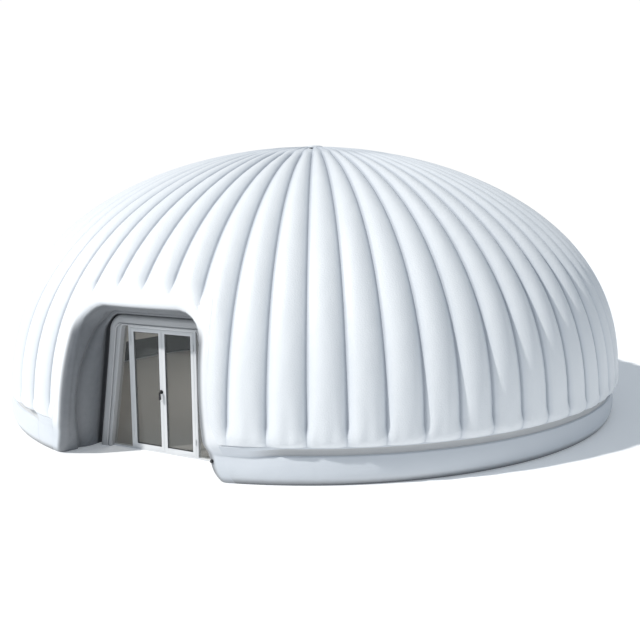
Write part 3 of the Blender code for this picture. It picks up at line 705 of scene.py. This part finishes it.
def wrinkles(azimuth, share, radius, height):
    """Small puckers beside the seams, and folds that fan out over the hem."""
    from_seam = np.minimum(share, 1 - share) * radius * rib_angle
    beside = np.exp(-from_seam / 0.07) * (1 - np.exp(-from_seam / 0.012))
    sign = np.where(share < 0.5, 0, 1)
    phase = rib_phase(azimuth, 0) + sign * 1.7
    fine, slow = (2 * pi * height / pitch for pitch in pucker_pitches)
    lift = pucker_depth * beside * (np.sin(fine + phase) * np.sin(slow + 2 * phase))
    low = np.exp(-np.maximum(height - hem_start, 0) / 0.34)
    fan = np.sin(2 * pi * (share * 2.5 + 0.15 * np.sin(height * 5)) + rib_phase(azimuth, 1))
    lift += fan_depth * low * fan * np.sin(pi * share)
    sag = np.sin(height * 2.1 + rib_phase(azimuth, 2)) * np.sin(pi * share) ** 2
    return lift + sag_depth * sag


def skin_sink(azimuth, radius, height):
    """How far the skin lies under the smooth dome."""
    share = (azimuth / rib_angle) % 1
    depth = rib_depth(radius)
    fade = entrance_fade(azimuth, radius, height)
    level = np.minimum(border_sink, depth)
    lift = wrinkles(azimuth, share, radius, height)
    valley = depth * (1 - fullness(share, height)) * hem_fade(height)
    return (valley - lift) * fade + level * (1 - fade)


def face_radius(azimuth, height):
    """The radius of the outer face by the entrance, down into the base ring's face.

    To the right of the entrance it has a saddle, which leaves room for the filling valve.
    """
    radius = radius_at(height, dome_radius, dome_height)
    into, _ = inward(angle_at_height(height, dome_height), dome_radius, dome_height)
    upper = radius - skin_sink(azimuth, radius, height) / np.maximum(-into, 0.3)
    face, rim = ring_face(height), radius_at(rim_height, dome_radius, dome_height) - border_sink
    plain = mix(face, rim, smooth_step(height, 0.15, 0.45))
    saddle = face - valve_saddle * np.exp(-(((height - valve_height) / 0.1) ** 2))
    by_valve = mix(saddle, rim, smooth_step(height, 0.4, 0.24))
    joined = mix(plain, by_valve, smooth_step(np.sin(azimuth) / 0.1))
    return mix(joined, upper, smooth_step(height, 0.56, 0.22))


def ring_face(height):
    """The bulged face of the ring: drawn in at the ground and towards its upper edge."""
    middle = 0.23
    below = np.clip((middle - height) / middle, 0, 1)
    above = np.clip((height - middle) / (ring_height - middle), 0, 1)
    return ring_radius - 0.062 * below**2.4 - 0.03 * above**2.2


def arch_start(azimuth, reach_at, width):
    """The height from which a column of the wall is clear of the opening and its border."""
    reach = reach_at(azimuth[:, None], start_heights[None])
    inside = arch_distance(opening, reach * np.sin(azimuth)[:, None], start_heights[None]) < width
    inside &= (np.cos(azimuth) > 0)[:, None]
    last = np.where(inside.any(axis=1), inside.shape[1] - 1 - np.argmax(inside[:, ::-1], axis=1), 0)
    return start_heights[last]


def lengths(points, axis):
    steps = np.linalg.norm(np.diff(points, axis=axis), axis=-1)
    start = np.zeros_like(np.take(steps, [0], axis=axis))
    return np.concatenate([start, np.cumsum(steps, axis=axis)], axis=axis)


def skin_points(azimuth):
    """The outer skin column by column: hem, then the ribbed profile up to the crown."""
    start = arch_start(azimuth, face_radius, border_width_at(start_heights)[None])
    clear = start <= rim_height + 1e-3
    first = np.where(clear, hem_start, start + 0.08)
    low_angle = angle_at_height(first, dome_height)
    share = np.linspace(0, 1, skin_rows + 1)[:, None] ** 1.08
    angle = mix(low_angle[None], crown_angle(dome_radius), share)
    radius, height = profile(angle, dome_radius, dome_height)
    sink = skin_sink(azimuth[None], radius, height)
    into_r, into_z = inward(angle, dome_radius, dome_height)
    upper = at(azimuth[None], radius + into_r * sink, height + into_z * sink)

    top_r = radius[0] + into_r[0] * sink[0]
    top_z = height[0] + into_z[0] * sink[0]
    part = np.linspace(0, 1, hem_rows + 1)[:-1, None]
    plain_z = start[None] + (top_z - start)[None] * part
    plain = at(azimuth[None], face_radius(azimuth[None], plain_z), plain_z)
    full = fullness((azimuth / rib_angle) % 1, rim_height)
    foot_z = hem_low + hem_scallop * (1 - full)
    turn = part * pi / 2
    round_r = (lip_radius + 0.004) + (top_r - lip_radius - 0.004)[None] * np.sin(turn) ** 0.62
    round_z = foot_z[None] + (top_z - foot_z)[None] * (1 - np.cos(turn) ** 0.9)
    hem = at(azimuth[None], round_r, round_z)
    groove = (groove_share(azimuth) * clear)[None, :, None]
    return np.concatenate([mix(plain, hem, groove), upper])


def gore_cloth(number, points):
    """Each face's corners on the flat cloth: every rib is cut as a gore of its own."""
    spread = np.linalg.norm(points[..., :2], axis=-1) * rib_angle
    along = lengths(points[::-1], 0)[::-1]
    gore = np.floor((number[1:] + number[:-1]) / 2)
    corners = []
    for row, column in ((0, 0), (0, 1), (1, 1), (1, 0)):
        rows, columns = slice(row, len(points) - 1 + row), slice(column, len(number) - 1 + column)
        across = (number[columns] - gore - 0.5) * spread[rows, columns] + gore * 1.37
        corners.append(np.stack([across, along[rows, columns] + gore * 0.71], axis=-1))
    return np.stack(corners, axis=2)


def wall_panel(name, node, first, count, points_of, look, columns, slot):
    """One welded panel of the outer skin or the inner wall, from seam number first."""
    number = np.linspace(first, first + count, count * columns + 1)
    azimuth = number * rib_angle
    azimuth[0] += 1e-6
    azimuth[-1] -= 1e-6
    points = points_of(azimuth)
    share = number % 1
    radius, height = np.linalg.norm(points[..., :2], axis=-1), points[..., 2]
    seam = np.minimum(share, 1 - share)[None] * radius * rib_angle
    seam += (1 - entrance_fade(azimuth[None], radius, height)) * 0.06
    seam += (1 - hem_fade(height)) * 0.04 + collar_share(radius) * 0.025
    cloth = gore_cloth(number, points)
    thing = cloth_object(name, points, look, cloth=cloth, marks={"seam": seam})
    crease_seams(thing.data, len(number), columns)
    settle(thicken(thing, skin_cloth), "tent", slot, node)
    width = float(radius.max() * rib_angle * count * panel_fullness)


def liner_reach(azimuth, height):
    return radius_at(height, liner_radius, liner_height) + 0 * azimuth


def liner_points(azimuth):
    """The inner wall column by column, from the ground or the entrance arch to the crown."""
    start = arch_start(azimuth, liner_reach, border_width)
    clear = start <= rim_height + 1e-3
    low = np.where(clear, 0.02, start)
    part = np.linspace(0, 1, 9)[:-1, None]
    first = np.where(clear, widest_height + 0.02, start + 0.05)
    lower_z = low[None] + (first - low)[None] * part
    lower = at(azimuth[None], radius_at(lower_z, liner_radius, liner_height), lower_z)
    low_angle = angle_at_height(first, liner_height)
    angle = mix(low_angle[None], crown_angle(liner_radius), profile_shares)
    radius, height = profile(angle, liner_radius, liner_height)
    between_seams = np.abs(np.sin(azimuth / rib_angle * pi))[None] ** 1.6
    depth = liner_pucker * radius / liner_radius * between_seams
    into_r, into_z = inward(angle, liner_radius, liner_height)
    depth = depth * smooth_step(height, widest_height, 0.6)
    upper = at(azimuth[None], radius + into_r * depth, height + into_z * depth)
    return np.concatenate([lower, upper])


def web_sheet(number, seam, look):
    """The flat web behind a seam, from the outer skin to the inner wall."""
    outer_angle, inner_angle = (
        mix(angle_at_height(web_foot, top), web_end, profile_shares)
        for top in (dome_height, liner_height)
    )
    radius, height = profile(outer_angle, dome_radius, dome_height)
    into_r, into_z = inward(outer_angle, dome_radius, dome_height)
    sink = rib_depth_share * radius * rib_angle + 0.03
    outer = np.stack([radius + into_r * sink, height + into_z * sink], axis=-1)
    inner = np.stack(profile(inner_angle, liner_radius + 0.01, liner_height + 0.01), axis=-1)
    flat = mix(outer, inner, np.linspace(0, 1, 7)[None, :, None])
    points = at(seam * rib_angle, flat[..., 0], flat[..., 1])
    thing = cloth_object("web_cloth_%d" % number, points, look)
    settle(thicken(thing, web_cloth), "tent", "inner_wall", "wall_web_%d" % number)


# Base ring

def ring_section(azimuth):
    """The ring's section: face, shoulder, set-back band, lip and hidden back.

    The azimuths have a row for each section, and one column, or one for each point of it.
    """
    face_z = np.linspace(0, face_top, 22)
    shoulder = np.linspace(0, pi / 2, 7)[1:]
    band_z = np.array([0.459, 0.47, 0.49, 0.52, 0.55])
    band_r = np.linspace(band_radius + 0.017, band_radius - 0.006, len(band_z))
    lip_z = np.array([0.562, 0.57, 0.6, 0.64])
    lip_r = lip_radius - np.array([0.012, 0.002, 0, 0.01])
    shoulder_r = ring_face(face_top) - 0.034 * (1 - np.cos(shoulder))
    groove_r = np.concatenate([ring_face(face_z), shoulder_r, band_r, lip_r])
    groove_z = np.concatenate([face_z, face_top + 0.03 * np.sin(shoulder), band_z, lip_z])
    length = np.concatenate([[0], np.cumsum(np.hypot(np.diff(groove_r), np.diff(groove_z)))])
    plain_z = (rim_height + 0.002) * length / length[-1]
    back_r, back_z = np.array(ring_back).T
    count = len(azimuth)
    front = np.broadcast_to(azimuth, (count, len(groove_z) + len(back_r)))[:, : len(groove_z)]
    share = groove_share(front)
    plain_r = face_radius(front, plain_z[None])
    plain_r[:, -1] -= 0.004
    radius = np.hstack([mix(plain_r, groove_r, share), np.tile(back_r, (count, 1))])
    height = np.hstack([mix(plain_z, groove_z, share), np.tile(back_z, (count, 1))])
    # The band's share, which the ring's finish darkens as painted shade under the hem.
    band = np.hstack([np.isin(groove_z, band_z) * share, np.zeros((count, len(back_r)))])
    return radius, height, band


def ring_tube(label, first, last, look, open_start, open_end):
    """One tube of the base ring, closed all round. An open end follows the entrance's flank."""
    azimuth = np.linspace(first * rib_angle, last * rib_angle, (last - first) * 6 + 1)
    radius, height, _ = ring_section(azimuth[:, None])
    angles = np.broadcast_to(azimuth[:, None], radius.shape).copy()
    for is_open, side, entrance, end in ((open_start, 1, 0.0, 0), (open_end, -1, 2 * pi, -1)):
        if is_open:
            reach = (edge_x(border, height[end]) - 0.004) / radius[end]
            flank = side * np.arcsin(reach) + entrance
            span = (azimuth - azimuth[end]) / (side * 4 * rib_angle)
            angles += (flank - azimuth[end])[None] * np.clip(1 - span, 0, 1)[:, None]
    radius, height, band = ring_section(angles)
    points, marks = at(angles, radius, height), {"band": band}
    thing = cloth_object("ring_tube_" + label, points, look, closed=True, capped=True, marks=marks)
    settle(thing, "tent", "ring_skin", "base_ring_" + label)


# Entrance

def face_y(x, z):
    """The outer face's y by the entrance."""
    radius = radius_at(z, dome_radius, dome_height) - border_sink
    for _ in range(3):
        azimuth = np.arcsin(np.clip(x / radius, -1, 1))
        radius = face_radius(azimuth, z)
    return -np.sqrt(radius**2 - x**2)


def recess_roll(look):
    """The wall's end round the recess: smooth border, roll, side walls, back crease and groove."""
    columns, inner = [], []

    def on_face(line, sink=0.0):
        return np.stack([line[:, 0], face_y(line[:, 0], line[:, 1]) + sink, line[:, 1]], axis=1)

    def add(column, share):
        columns.append(column)
        inner.append(np.broadcast_to(share, len(column)))

    # Border and roll
    for beyond in (hidden_border, 0.012):
        add(on_face(border_line(1, beyond), 0.0032), 0)
    for share in np.linspace(1, 0, 9):
        add(on_face(border_line(share), 0.0022 * share**1.5), 0)
    for turn in np.linspace(0, pi / 2, 17)[1:]:
        line = arch_line(arch_grown(opening, roll_radius * (1 - sin(turn))))
        # The roll turns grey as it curls in: partly grey cloth, partly painted shade, which starts
        # sooner on the legs than over the top.
        by_the_legs = 1 - smooth_step(line[:, 1], 2.05, 0.4)
        grey_cloth_and_shade = mix(smooth_step(turn, 0.85, 0.4), smooth_step(turn / 0.6), by_the_legs)
        add(on_face(line, roll_radius * (1 - cos(turn))), grey_cloth_and_shade)

    # Side wall in two swells, with the crease between them
    edge, end_y = columns[-1], -surround_front
    up = np.clip(edge[:, 2] / 2.3, 0, 1)
    legs = 1 - 0.6 * smooth_step(edge[:, 2], 1.95, 0.45)
    flank_line, groove_line = arch_line(surround), arch_line(arch_grown(surround, recess_groove))
    back = mix(flank_line, groove_line, legs[:, None])
    out = outward_normals(back)
    crease = end_y - 0.04 - 0.27 * (1 - up) - 0.35 * np.sin(pi * up)
    depth_share = np.clip((crease - edge[:, 1]) / (end_y - edge[:, 1]), 0.12, 0.95)
    for share in np.linspace(0, 1, 9)[1:]:
        swell = 0.02 * sin(pi * share) + crease_dip * share**4
        swell = np.full(len(back), swell)
        add(recess_point(edge, back, out, share * depth_share, end_y, swell), 1)
    for share in np.linspace(0, 1, 17)[1:]:
        along = depth_share + (1 - depth_share) * share
        fuller = 0.25 + 0.75 * np.sin(pi * up)
        bulge = recess_bulge * np.sin(pi * share) ** 0.75 * fuller + crease_dip * (1 - share) ** 3
        # Towards the crease the mark rises above 1: painted shade in the crease.
        add(recess_point(edge, back, out, along, end_y, bulge), 1 + 0.6 * (1 - share) ** 8)

    # Groove against the surround, then hidden behind it and back to the border
    for deeper, across in ((0.03, -0.012), (0.08, -0.01), (0.11, 0.2), (0.115, 0.6), (0.115, 0.97)):
        line = mix(back, flank_line, across)
        # Mark 2: painted shade down in the groove.
        add(np.stack([line[:, 0], np.full(len(line), end_y + deeper), line[:, 1]], axis=1), 2)
    far_y = np.full(len(back), end_y + 0.14)
    hidden = np.stack([columns[-1][:, 0], far_y, columns[-1][:, 2]], axis=1)
    flank = arch_line(border)
    far = np.stack([flank[:, 0], far_y, flank[:, 1]], axis=1)
    for share in (0, 0.5, 1):
        add(mix(hidden, far, share), 1)
    under = on_face(border_line(1, hidden_border), 0.03)
    add(mix(far, under, 0.5), 1)
    add(under, 0)
    points, marks = np.stack(columns, axis=1), {"inner": np.stack(inner, axis=1)}
    thing = cloth_object("recess_roll", points, look, closed=True, capped=True, marks=marks)
    puffed(thing, points.shape[:2], roll_free, roll_most)
    settle(thing, "tent", "white_skin", "recess_pad_left", "recess_pad_right", "recess_pad_top")


def directions(line):
    """Unit directions along a line of points."""
    along = np.gradient(line, axis=0)
    return along / np.linalg.norm(along, axis=1)[:, None]


def outward_normals(line):
    """Unit directions square to an arch, pointing away from the opening."""
    along = directions(line)
    return np.stack([-along[:, 1], along[:, 0]], axis=1)


def recess_point(edge, back, out, share, end_y, bulge):
    """A line of points along the recess wall, raised by the bulge towards the opening."""
    x = mix(edge[:, 0], back[:, 0], share)
    z = mix(edge[:, 2], back[:, 1], share)
    y = mix(edge[:, 1], end_y, share)
    raised = np.stack([x, z], axis=1) - out * np.reshape(bulge, (-1, 1))
    return np.stack([raised[:, 0], y, np.maximum(raised[:, 1], 0)], axis=1)


def door_surround(look, bead_look):
    """The padded frame of the door, with a welt in its sewn groove."""
    outer, inner = arch_line(arch_grown(surround, -0.004)), arch_line(light)
    width = np.linalg.norm(outer - inner, axis=1)[:, None]
    front, back = -surround_front, -surround_back
    quarter = np.linspace(0, pi / 2, 9)[1:]

    def across(distance, y):
        """A line at a distance in from the outer edge."""
        flat = outer + (inner - outer) * np.clip(distance / width, 0, 1)
        return np.stack([flat[:, 0], np.full(len(flat), y), flat[:, 1]], axis=1)

    columns = [across(0.0, back), across(0.0, front + surround_depth)]
    for turn in quarter:
        y = front + surround_depth - surround_depth * sin(turn)
        columns.append(across(surround_round * (1 - cos(turn)), y))
    for share in np.linspace(0, 1, 9)[1:]:
        distance = surround_round + (bead_set_in - 0.02 - surround_round) * share
        columns.append(across(distance, front + 0.006 * share**3))
    for off, deep in ((0.012, 0.014), (0.0, 0.018), (-0.012, 0.014), (-0.02, 0.006)):
        columns.append(across(bead_set_in - off, front + deep))
    inside = width - 0.001
    for share in np.linspace(0, 1, 7)[1:]:
        distance = mix(bead_set_in + 0.02, inside - 0.02, share)
        columns.append(across(distance, front + 0.004 * (1 - share)))
    for turn in np.linspace(0, pi / 2, 6)[1:]:
        columns.append(across(inside - 0.02 + 0.02 * sin(turn), front + 0.02 * (1 - cos(turn))))
    columns += [across(inside, front + 0.08), across(inside, back)]
    points = np.stack(columns, axis=1)
    thing = cloth_object("padded_surround", points, look, closed=True, capped=True)
    puffed(thing, points.shape[:2], surround_free, surround_most)
    nodes = ("door_surround_left", "door_surround_right", "door_surround_top")
    settle(thing, "tent", "grey_pad", *nodes)

    middle = across(bead_set_in, front - 0.004)
    middle[:, 2] = np.maximum(middle[:, 2], bead_radius)
    ahead = np.array([0.0, -1.0, 0.0])
    aside = np.cross(directions(middle), ahead)
    turns = np.linspace(0, 2 * pi, 13)[:-1]
    tube = [middle + bead_radius * (ahead * cos(turn) + aside * sin(turn)) for turn in turns]
    points = np.stack(tube, axis=1)
    bead = cloth_object("surround_welt", points, bead_look, closed=True, capped=True)
    settle(bead, "tent", "grey_pad", "surround_bead")


def ground_sheet(look):
    """The floor inside the ring, notched round the door, slightly rucked."""
    azimuth = np.linspace(-pi, pi, 361)
    whole = np.full(len(azimuth), ring_inner - 0.004)
    reach = whole
    ahead = np.clip(azimuth, -1.2, 1.2)
    for wall, half in ((surround_front, float(edge_x(border, 0.0))), (surround_back, surround[0])):
        beside = np.abs(wall * np.tan(ahead)) < half
        limit = np.where(beside, (wall - 0.004) / np.cos(azimuth), whole)
        reach = np.where(np.abs(azimuth) < 1.2, np.minimum(reach, limit), reach)
    share = np.linspace(0.02, 1, 60)[:, None]
    radius = reach[None] * share
    rucks = np.sin(azimuth * 9 + radius * 1.3) * np.sin(radius * 2.1 + azimuth * 4)
    lift = 0.006 + 0.003 * rucks * np.clip((reach[None] - radius) / 0.5, 0, 1)
    points = at(azimuth[None], radius, lift)
    thing = cloth_object("ground_sheet_cloth", points[:, :-1], look, closed=True)
    fill_centre(thing, points.shape[1] - 1)
    thicken(thing, sheet_cloth)
    settle(thing, "tent", "floor_sheet", "ground_sheet")


def fill_centre(thing, count):
    """Closes the hole in the middle of a polar grid."""
    mesh = thing.data
    activate(thing)
    bpy.ops.object.mode_set(mode="EDIT")
    bpy.ops.mesh.select_all(action="DESELECT")
    bpy.ops.object.mode_set(mode="OBJECT")
    for vertex in mesh.vertices[:count]:
        vertex.select = True
    bpy.ops.object.mode_set(mode="EDIT")
    bpy.ops.mesh.select_mode(type="VERT")
    bpy.ops.mesh.fill()
    bpy.ops.mesh.select_all(action="SELECT")
    bpy.ops.mesh.normals_make_consistent(inside=False)
    bpy.ops.object.mode_set(mode="OBJECT")


def crown_patch(look):
    """The domed cap over the gathered gores."""
    low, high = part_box("crown_cap")
    reach, top = (high.x - low.x) / 2, high.z
    seat = top - 0.06
    azimuth = np.linspace(0, 2 * pi, 137)[:-1]
    share = np.linspace(0, 1, 15)[:, None]
    radius = 0.004 + (reach - 0.004) * np.sin(share * pi / 2)
    height = seat + 0.012 + (top - seat - 0.012) * np.cos(share * pi / 2) ** 0.8
    gathers = 0.0025 * np.cos(azimuth * rib_count)[None] * share**2
    rows = [at(azimuth[None], radius, height + gathers)]
    under = ((reach, 0.004), (reach - 0.012, 0), (0.14, 0), (0.14, -0.05), (0.004, -0.05))
    for radius, lift in under:
        rows.append(at(azimuth[None], np.full((1, len(azimuth)), radius), seat + lift))
    points = np.concatenate(rows)
    thing = cloth_object("crown_patch", points, look, closed=True, capped=True, flip=True)
    settle(thing, "tent", "white_skin", "crown_cap")


# Door

def edited(thing, *steps):
    """Runs mesh operators on the whole mesh, each with its settings."""
    activate(thing)
    bpy.ops.object.mode_set(mode="EDIT")
    for operator, settings in steps:
        bpy.ops.mesh.select_all(action="SELECT")
        operator(**settings)
    bpy.ops.object.mode_set(mode="OBJECT")
    return thing


def copy_of_node(node, name):
    """The node's shape as a mesh of its own, its triangles merged and its flat faces whole."""
    merge = (bpy.ops.mesh.remove_doubles, {"threshold": 0.00002})
    flatten = (bpy.ops.mesh.dissolve_limited, {"angle_limit": radians(1)})
    return edited(added(name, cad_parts[node].data.copy()), merge, flatten)


def apply_all(thing):
    activate(thing)
    for step in list(thing.modifiers):
        bpy.ops.object.modifier_apply(modifier=step.name)
    return thing


def bevelled(thing, width, segments=3, smooth=35):
    """Rounds the thing's edges and shades it smooth, up to an angle in degrees."""
    edge = thing.modifiers.new("Rounded edges", "BEVEL")
    edge.width = width
    edge.segments = segments
    edge.limit_method = "ANGLE"
    edge.angle_limit = radians(35)
    apply_all(thing)
    bpy.ops.object.shade_smooth_by_angle(angle=radians(smooth))
    return thing


def eased(node, name, look, body, slot):
    """The node with its edges rounded."""
    thing = bevelled(copy_of_node(node, name), 0.003, 2, 30)
    repainted(thing.data, look)
    return settle(thing, body, slot, node)


def active_primitive(name, look):
    """The primitive just made, named and given its material."""
    thing = bpy.context.active_object
    thing.name = name
    thing.data.name = name
    repainted(thing.data, look)
    return thing


def placed(thing):
    """Puts the object's place, turn and size into its mesh."""
    activate(thing)
    bpy.ops.object.transform_apply(location=True, rotation=True, scale=True)
    return thing


def pane_gasket(name, node, side, look, body):
    """The black seal round a pane, on its outer (-1) or inner (1) face."""
    low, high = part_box(node)
    face = low.y if side < 0 else high.y
    middle = ((low.x + high.x) / 2, face, (low.z + high.z) / 2)
    bpy.ops.object.select_all(action="DESELECT")
    bpy.ops.mesh.primitive_plane_add(size=1, location=middle)
    thing = active_primitive(name, look)
    thing.rotation_euler = (pi / 2, 0, 0)
    thing.scale = (high.x - low.x - 0.001, high.z - low.z - 0.001, 1)
    placed(thing)
    bpy.ops.object.mode_set(mode="EDIT")
    bpy.ops.mesh.select_all(action="SELECT")
    bpy.ops.mesh.inset(thickness=0.009)
    bpy.ops.mesh.delete(type="FACE")
    bpy.ops.mesh.select_all(action="SELECT")
    bpy.ops.mesh.extrude_region_move(TRANSFORM_OT_translate={"value": (0, side * 0.006, 0)})
    bpy.ops.mesh.select_all(action="SELECT")
    bpy.ops.mesh.normals_make_consistent(inside=False)
    bpy.ops.object.mode_set(mode="OBJECT")
    bevelled(thing, 0.0015, 2)
    return settle(thing, body, "black_plastic")


def lever_handle(node, side, look):
    """A lever on its rose: the neck bends down into a flattened grip."""
    low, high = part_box(node)
    x, top = (low.x + high.x) / 2, high.z - 0.01
    face = high.y if side < 0 else low.y
    reach = low.y + 0.01 if side < 0 else high.y - 0.01
    rose_depth = 0.007
    bpy.ops.object.select_all(action="DESELECT")
    bpy.ops.mesh.primitive_cylinder_add(
        vertices=40,
        radius=0.034,
        depth=rose_depth,
        location=(x, face + side * rose_depth / 2, top),
        rotation=(pi / 2, 0, 0),
    )
    rose = bevelled(placed(active_primitive(node + "_rose", look)), 0.002)
    curve = bpy.data.curves.new(node + "_lever", "CURVE")
    curve.dimensions = "3D"
    curve.bevel_depth = 0.017
    curve.bevel_resolution = 5
    curve.use_fill_caps = True
    curve.resolution_u = 10
    line = curve.splines.new("BEZIER")
    stops = (
        ((x, face, top), (0, side * 0.012, 0), 1.05),
        ((x, reach - side * 0.004, top - 0.012), (0, side * 0.006, -0.012), 1.0),
        ((x, reach, top - 0.05), (0, 0, -0.02), 1.0),
        ((x, reach - side * 0.003, low.z + 0.004), (0, 0, -0.02), 1.15),
    )
    line.bezier_points.add(len(stops) - 1)
    for point, (place, handle, thickness) in zip(line.bezier_points, stops):
        point.co = place
        point.handle_left_type = point.handle_right_type = "FREE"
        point.handle_left = Vector(place) - Vector(handle)
        point.handle_right = Vector(place) + Vector(handle)
        point.radius = thickness
    guide = added(node + "_lever", curve)
    bpy.context.view_layer.update()
    shown = guide.evaluated_get(bpy.context.evaluated_depsgraph_get())
    mesh = bpy.data.meshes.new_from_object(shown)
    lever = added(node + "_lever_grip", mesh)
    bpy.data.objects.remove(guide)
    repainted(mesh, look)
    merge = (bpy.ops.mesh.remove_doubles, {"threshold": 0.00005})
    edited(lever, merge, (bpy.ops.mesh.normals_make_consistent, {"inside": False}))
    bpy.ops.object.shade_smooth_by_angle(angle=radians(50))
    settle(lever, "handle", "black_plastic", node)
    settle(rose, "left_leaf", "black_plastic")


# Assembly

white = skin_finish("white_coated_fabric")
smooth_white = smooth_fabric("smooth_white_fabric", *smooth_whites).material
grey = smooth_fabric("grey_padding", (0.52, 0.53, 0.54), (0.44, 0.45, 0.46), 0.5, 0.01).material
welt = smooth_fabric("grey_welt", (0.6, 0.61, 0.62), (0.52, 0.53, 0.54), 0.45, 0.001).material
liner_cloth = liner_finish("inner_wall_cloth")
floor_cloth = floor_finish("woven_groundsheet")
paint = paint_finish("pale_grey_powder_coat", (0.7, 0.715, 0.73), (0.5, 0.5, 0.5))
glass = glass_finish("clear_door_glass")
steel = metal_finish("brushed_steel", (0.62, 0.62, 0.63), (1, 1, 12), 0.25)
black = plastic_finish("black_moulding", (0.018, 0.018, 0.02))
rubber = plastic_finish("black_rubber_seal", (0.025, 0.025, 0.026), 0.6)

half = front_ribs // 2
starts = list(range(half, rib_count - half + 1, sector_ribs))
front_weld = (radians(-20.4), 1.0)
ring_joins = [(side * start * rib_angle, 0.25) for start in starts[1:4] for side in (-1, 1)]
ring_cloth = ring_finish("ring_fabric", [front_weld] + ring_joins)

for start, label in zip([-half] + starts, ("front",) + sectors):
    count = front_ribs if label == "front" else sector_ribs
    skin, wall = "outer_skin_" + label, "inner_wall_" + label
    panel = ("ribbed_skin_" + label, skin, start, count, skin_points)
    wall_panel(*panel, white, rib_columns, "white_skin")
    panel = ("lining_" + label, wall, start, count, liner_points)
    wall_panel(*panel, liner_cloth, liner_columns, "inner_wall")
for start, last, label in zip(starts, starts[1:], sectors):
    ring_tube(label, start, last, ring_cloth, start == starts[0], last == starts[-1])
for number, seam in enumerate(starts):
    web_sheet(number + 1, seam, liner_cloth)
recess_roll(roll_finish("entrance_fabric"))
door_surround(grey, welt)
ground_sheet(floor_cloth)
crown_patch(smooth_white)

for node in ("jamb_left", "jamb_right", "frame_head", "threshold"):
    eased(node, node + "_profile", paint, "tent", "door_paint")
hinge_pins = []
for side in ("left", "right"):
    leaf, node = side + "_leaf", "leaf_frame_" + side
    eased(node, node + "_profile", paint, leaf, "door_paint")
    for face, label in ((-1, "outer"), (1, "inner")):
        seal = "leaf_seal_" + side + "_" + label
        pane_gasket(seal, "leaf_glass_" + side, face, rubber, leaf)
    hinge_pins += ["hinge_pin_" + side + "_low", "hinge_pin_" + side + "_high"]
for look, kept in (
    (glass, ("leaf_glass_left", "leaf_glass_right", "side_light_left", "side_light_right")),
    (steel, (*hinge_pins, "handle_spindle", "lock_cylinder", "dead_bolt")),
    (black, ("thumb_turn", "valve_body", "valve_cap", "relief_valve")),
):
    for node in kept:
        repainted(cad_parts[node].data, look)
lever_handle("handle_outside", -1, black)
lever_handle("handle_inside", 1, black)

# Floor, light and camera

floor_size = 160
bpy.ops.object.select_all(action="DESELECT")
bpy.ops.mesh.primitive_plane_add(size=floor_size, location=(0, 0, -0.001))
floor = bpy.context.active_object
floor.name = "studio_floor"
floor_look = Finish(
    "pale_floor",
    Base_Color=(0.93, 0.93, 0.93, 1),
    Roughness=0.9,
    Specular_IOR_Level=0.1,
    Emission_Color=(0.9, 0.95, 1.0, 1),
    Emission_Strength=0.15,
)
floor.data.materials.append(floor_look.material)

world = bpy.data.worlds.new("Studio")
bpy.context.scene.world = world
world.use_nodes = True
nodes, links = world.node_tree.nodes, world.node_tree.links
sky = nodes["Background"]
sky.inputs["Color"].default_value = (0.78, 0.885, 1.0, 1)
sky.inputs["Strength"].default_value = 0.41
backdrop = nodes.new("ShaderNodeBackground")
backdrop.inputs["Color"].default_value = (1, 1, 1, 1)
backdrop.inputs["Strength"].default_value = 1.02
seen = nodes.new("ShaderNodeLightPath")
choice = nodes.new("ShaderNodeMixShader")
links.new(seen.outputs["Is Camera Ray"], choice.inputs["Fac"])
links.new(sky.outputs[0], choice.inputs[1])
links.new(backdrop.outputs[0], choice.inputs[2])
links.new(choice.outputs[0], nodes["World Output"].inputs["Surface"])


def towards(azimuth, elevation):
    """The unit direction to a place in the sky."""
    return Vector((sin(azimuth) * cos(elevation), -cos(azimuth) * cos(elevation), sin(elevation)))


def turned_to(thing, place, way):
    """Puts a lamp or the camera in its place, looking along a direction."""
    turn = way.to_track_quat("-Z", "Y").to_matrix().to_4x4()
    thing.matrix_world = Matrix.Translation(place) @ turn


def lamp(name, kind, place, aim, energy, **settings):
    light_data = bpy.data.lights.new(name, kind)
    light_data.energy = energy
    for key, value in settings.items():
        setattr(light_data, key, value)
    turned_to(added(name, light_data), place, aim - place)


centre = Vector((0, 0, 0))
sun_way = towards(radians(-46), radians(45.5))
lamp("Sun", "SUN", sun_way * 30, centre, 3.1, angle=radians(2), color=(1.0, 0.985, 0.96))
roof_light = {"shape": "DISK", "size": 5.5, "color": (1.0, 0.97, 0.93)}
lamp("Daylight through the roof", "AREA", Vector((0, 0, 4.3)), centre, 200, **roof_light)

camera_place = Vector((8.14, -15.58, 4.13))
heading = Vector((-0.4415, 0.8973, 0)).normalized()
pitch = radians(-8.51)
look_way = heading * cos(pitch) + Vector((0, 0, sin(pitch)))
camera_data = bpy.data.cameras.new("Camera")
camera_data.lens = 43.57
camera_data.sensor_width = 36
camera_data.shift_x = -0.0208
camera_data.shift_y = 0.0048
camera_data.clip_end = 200
camera = added("Camera", camera_data)
turned_to(camera, camera_place, look_way)
bpy.context.scene.camera = camera
bpy.context.scene.view_settings.view_transform = "Standard"
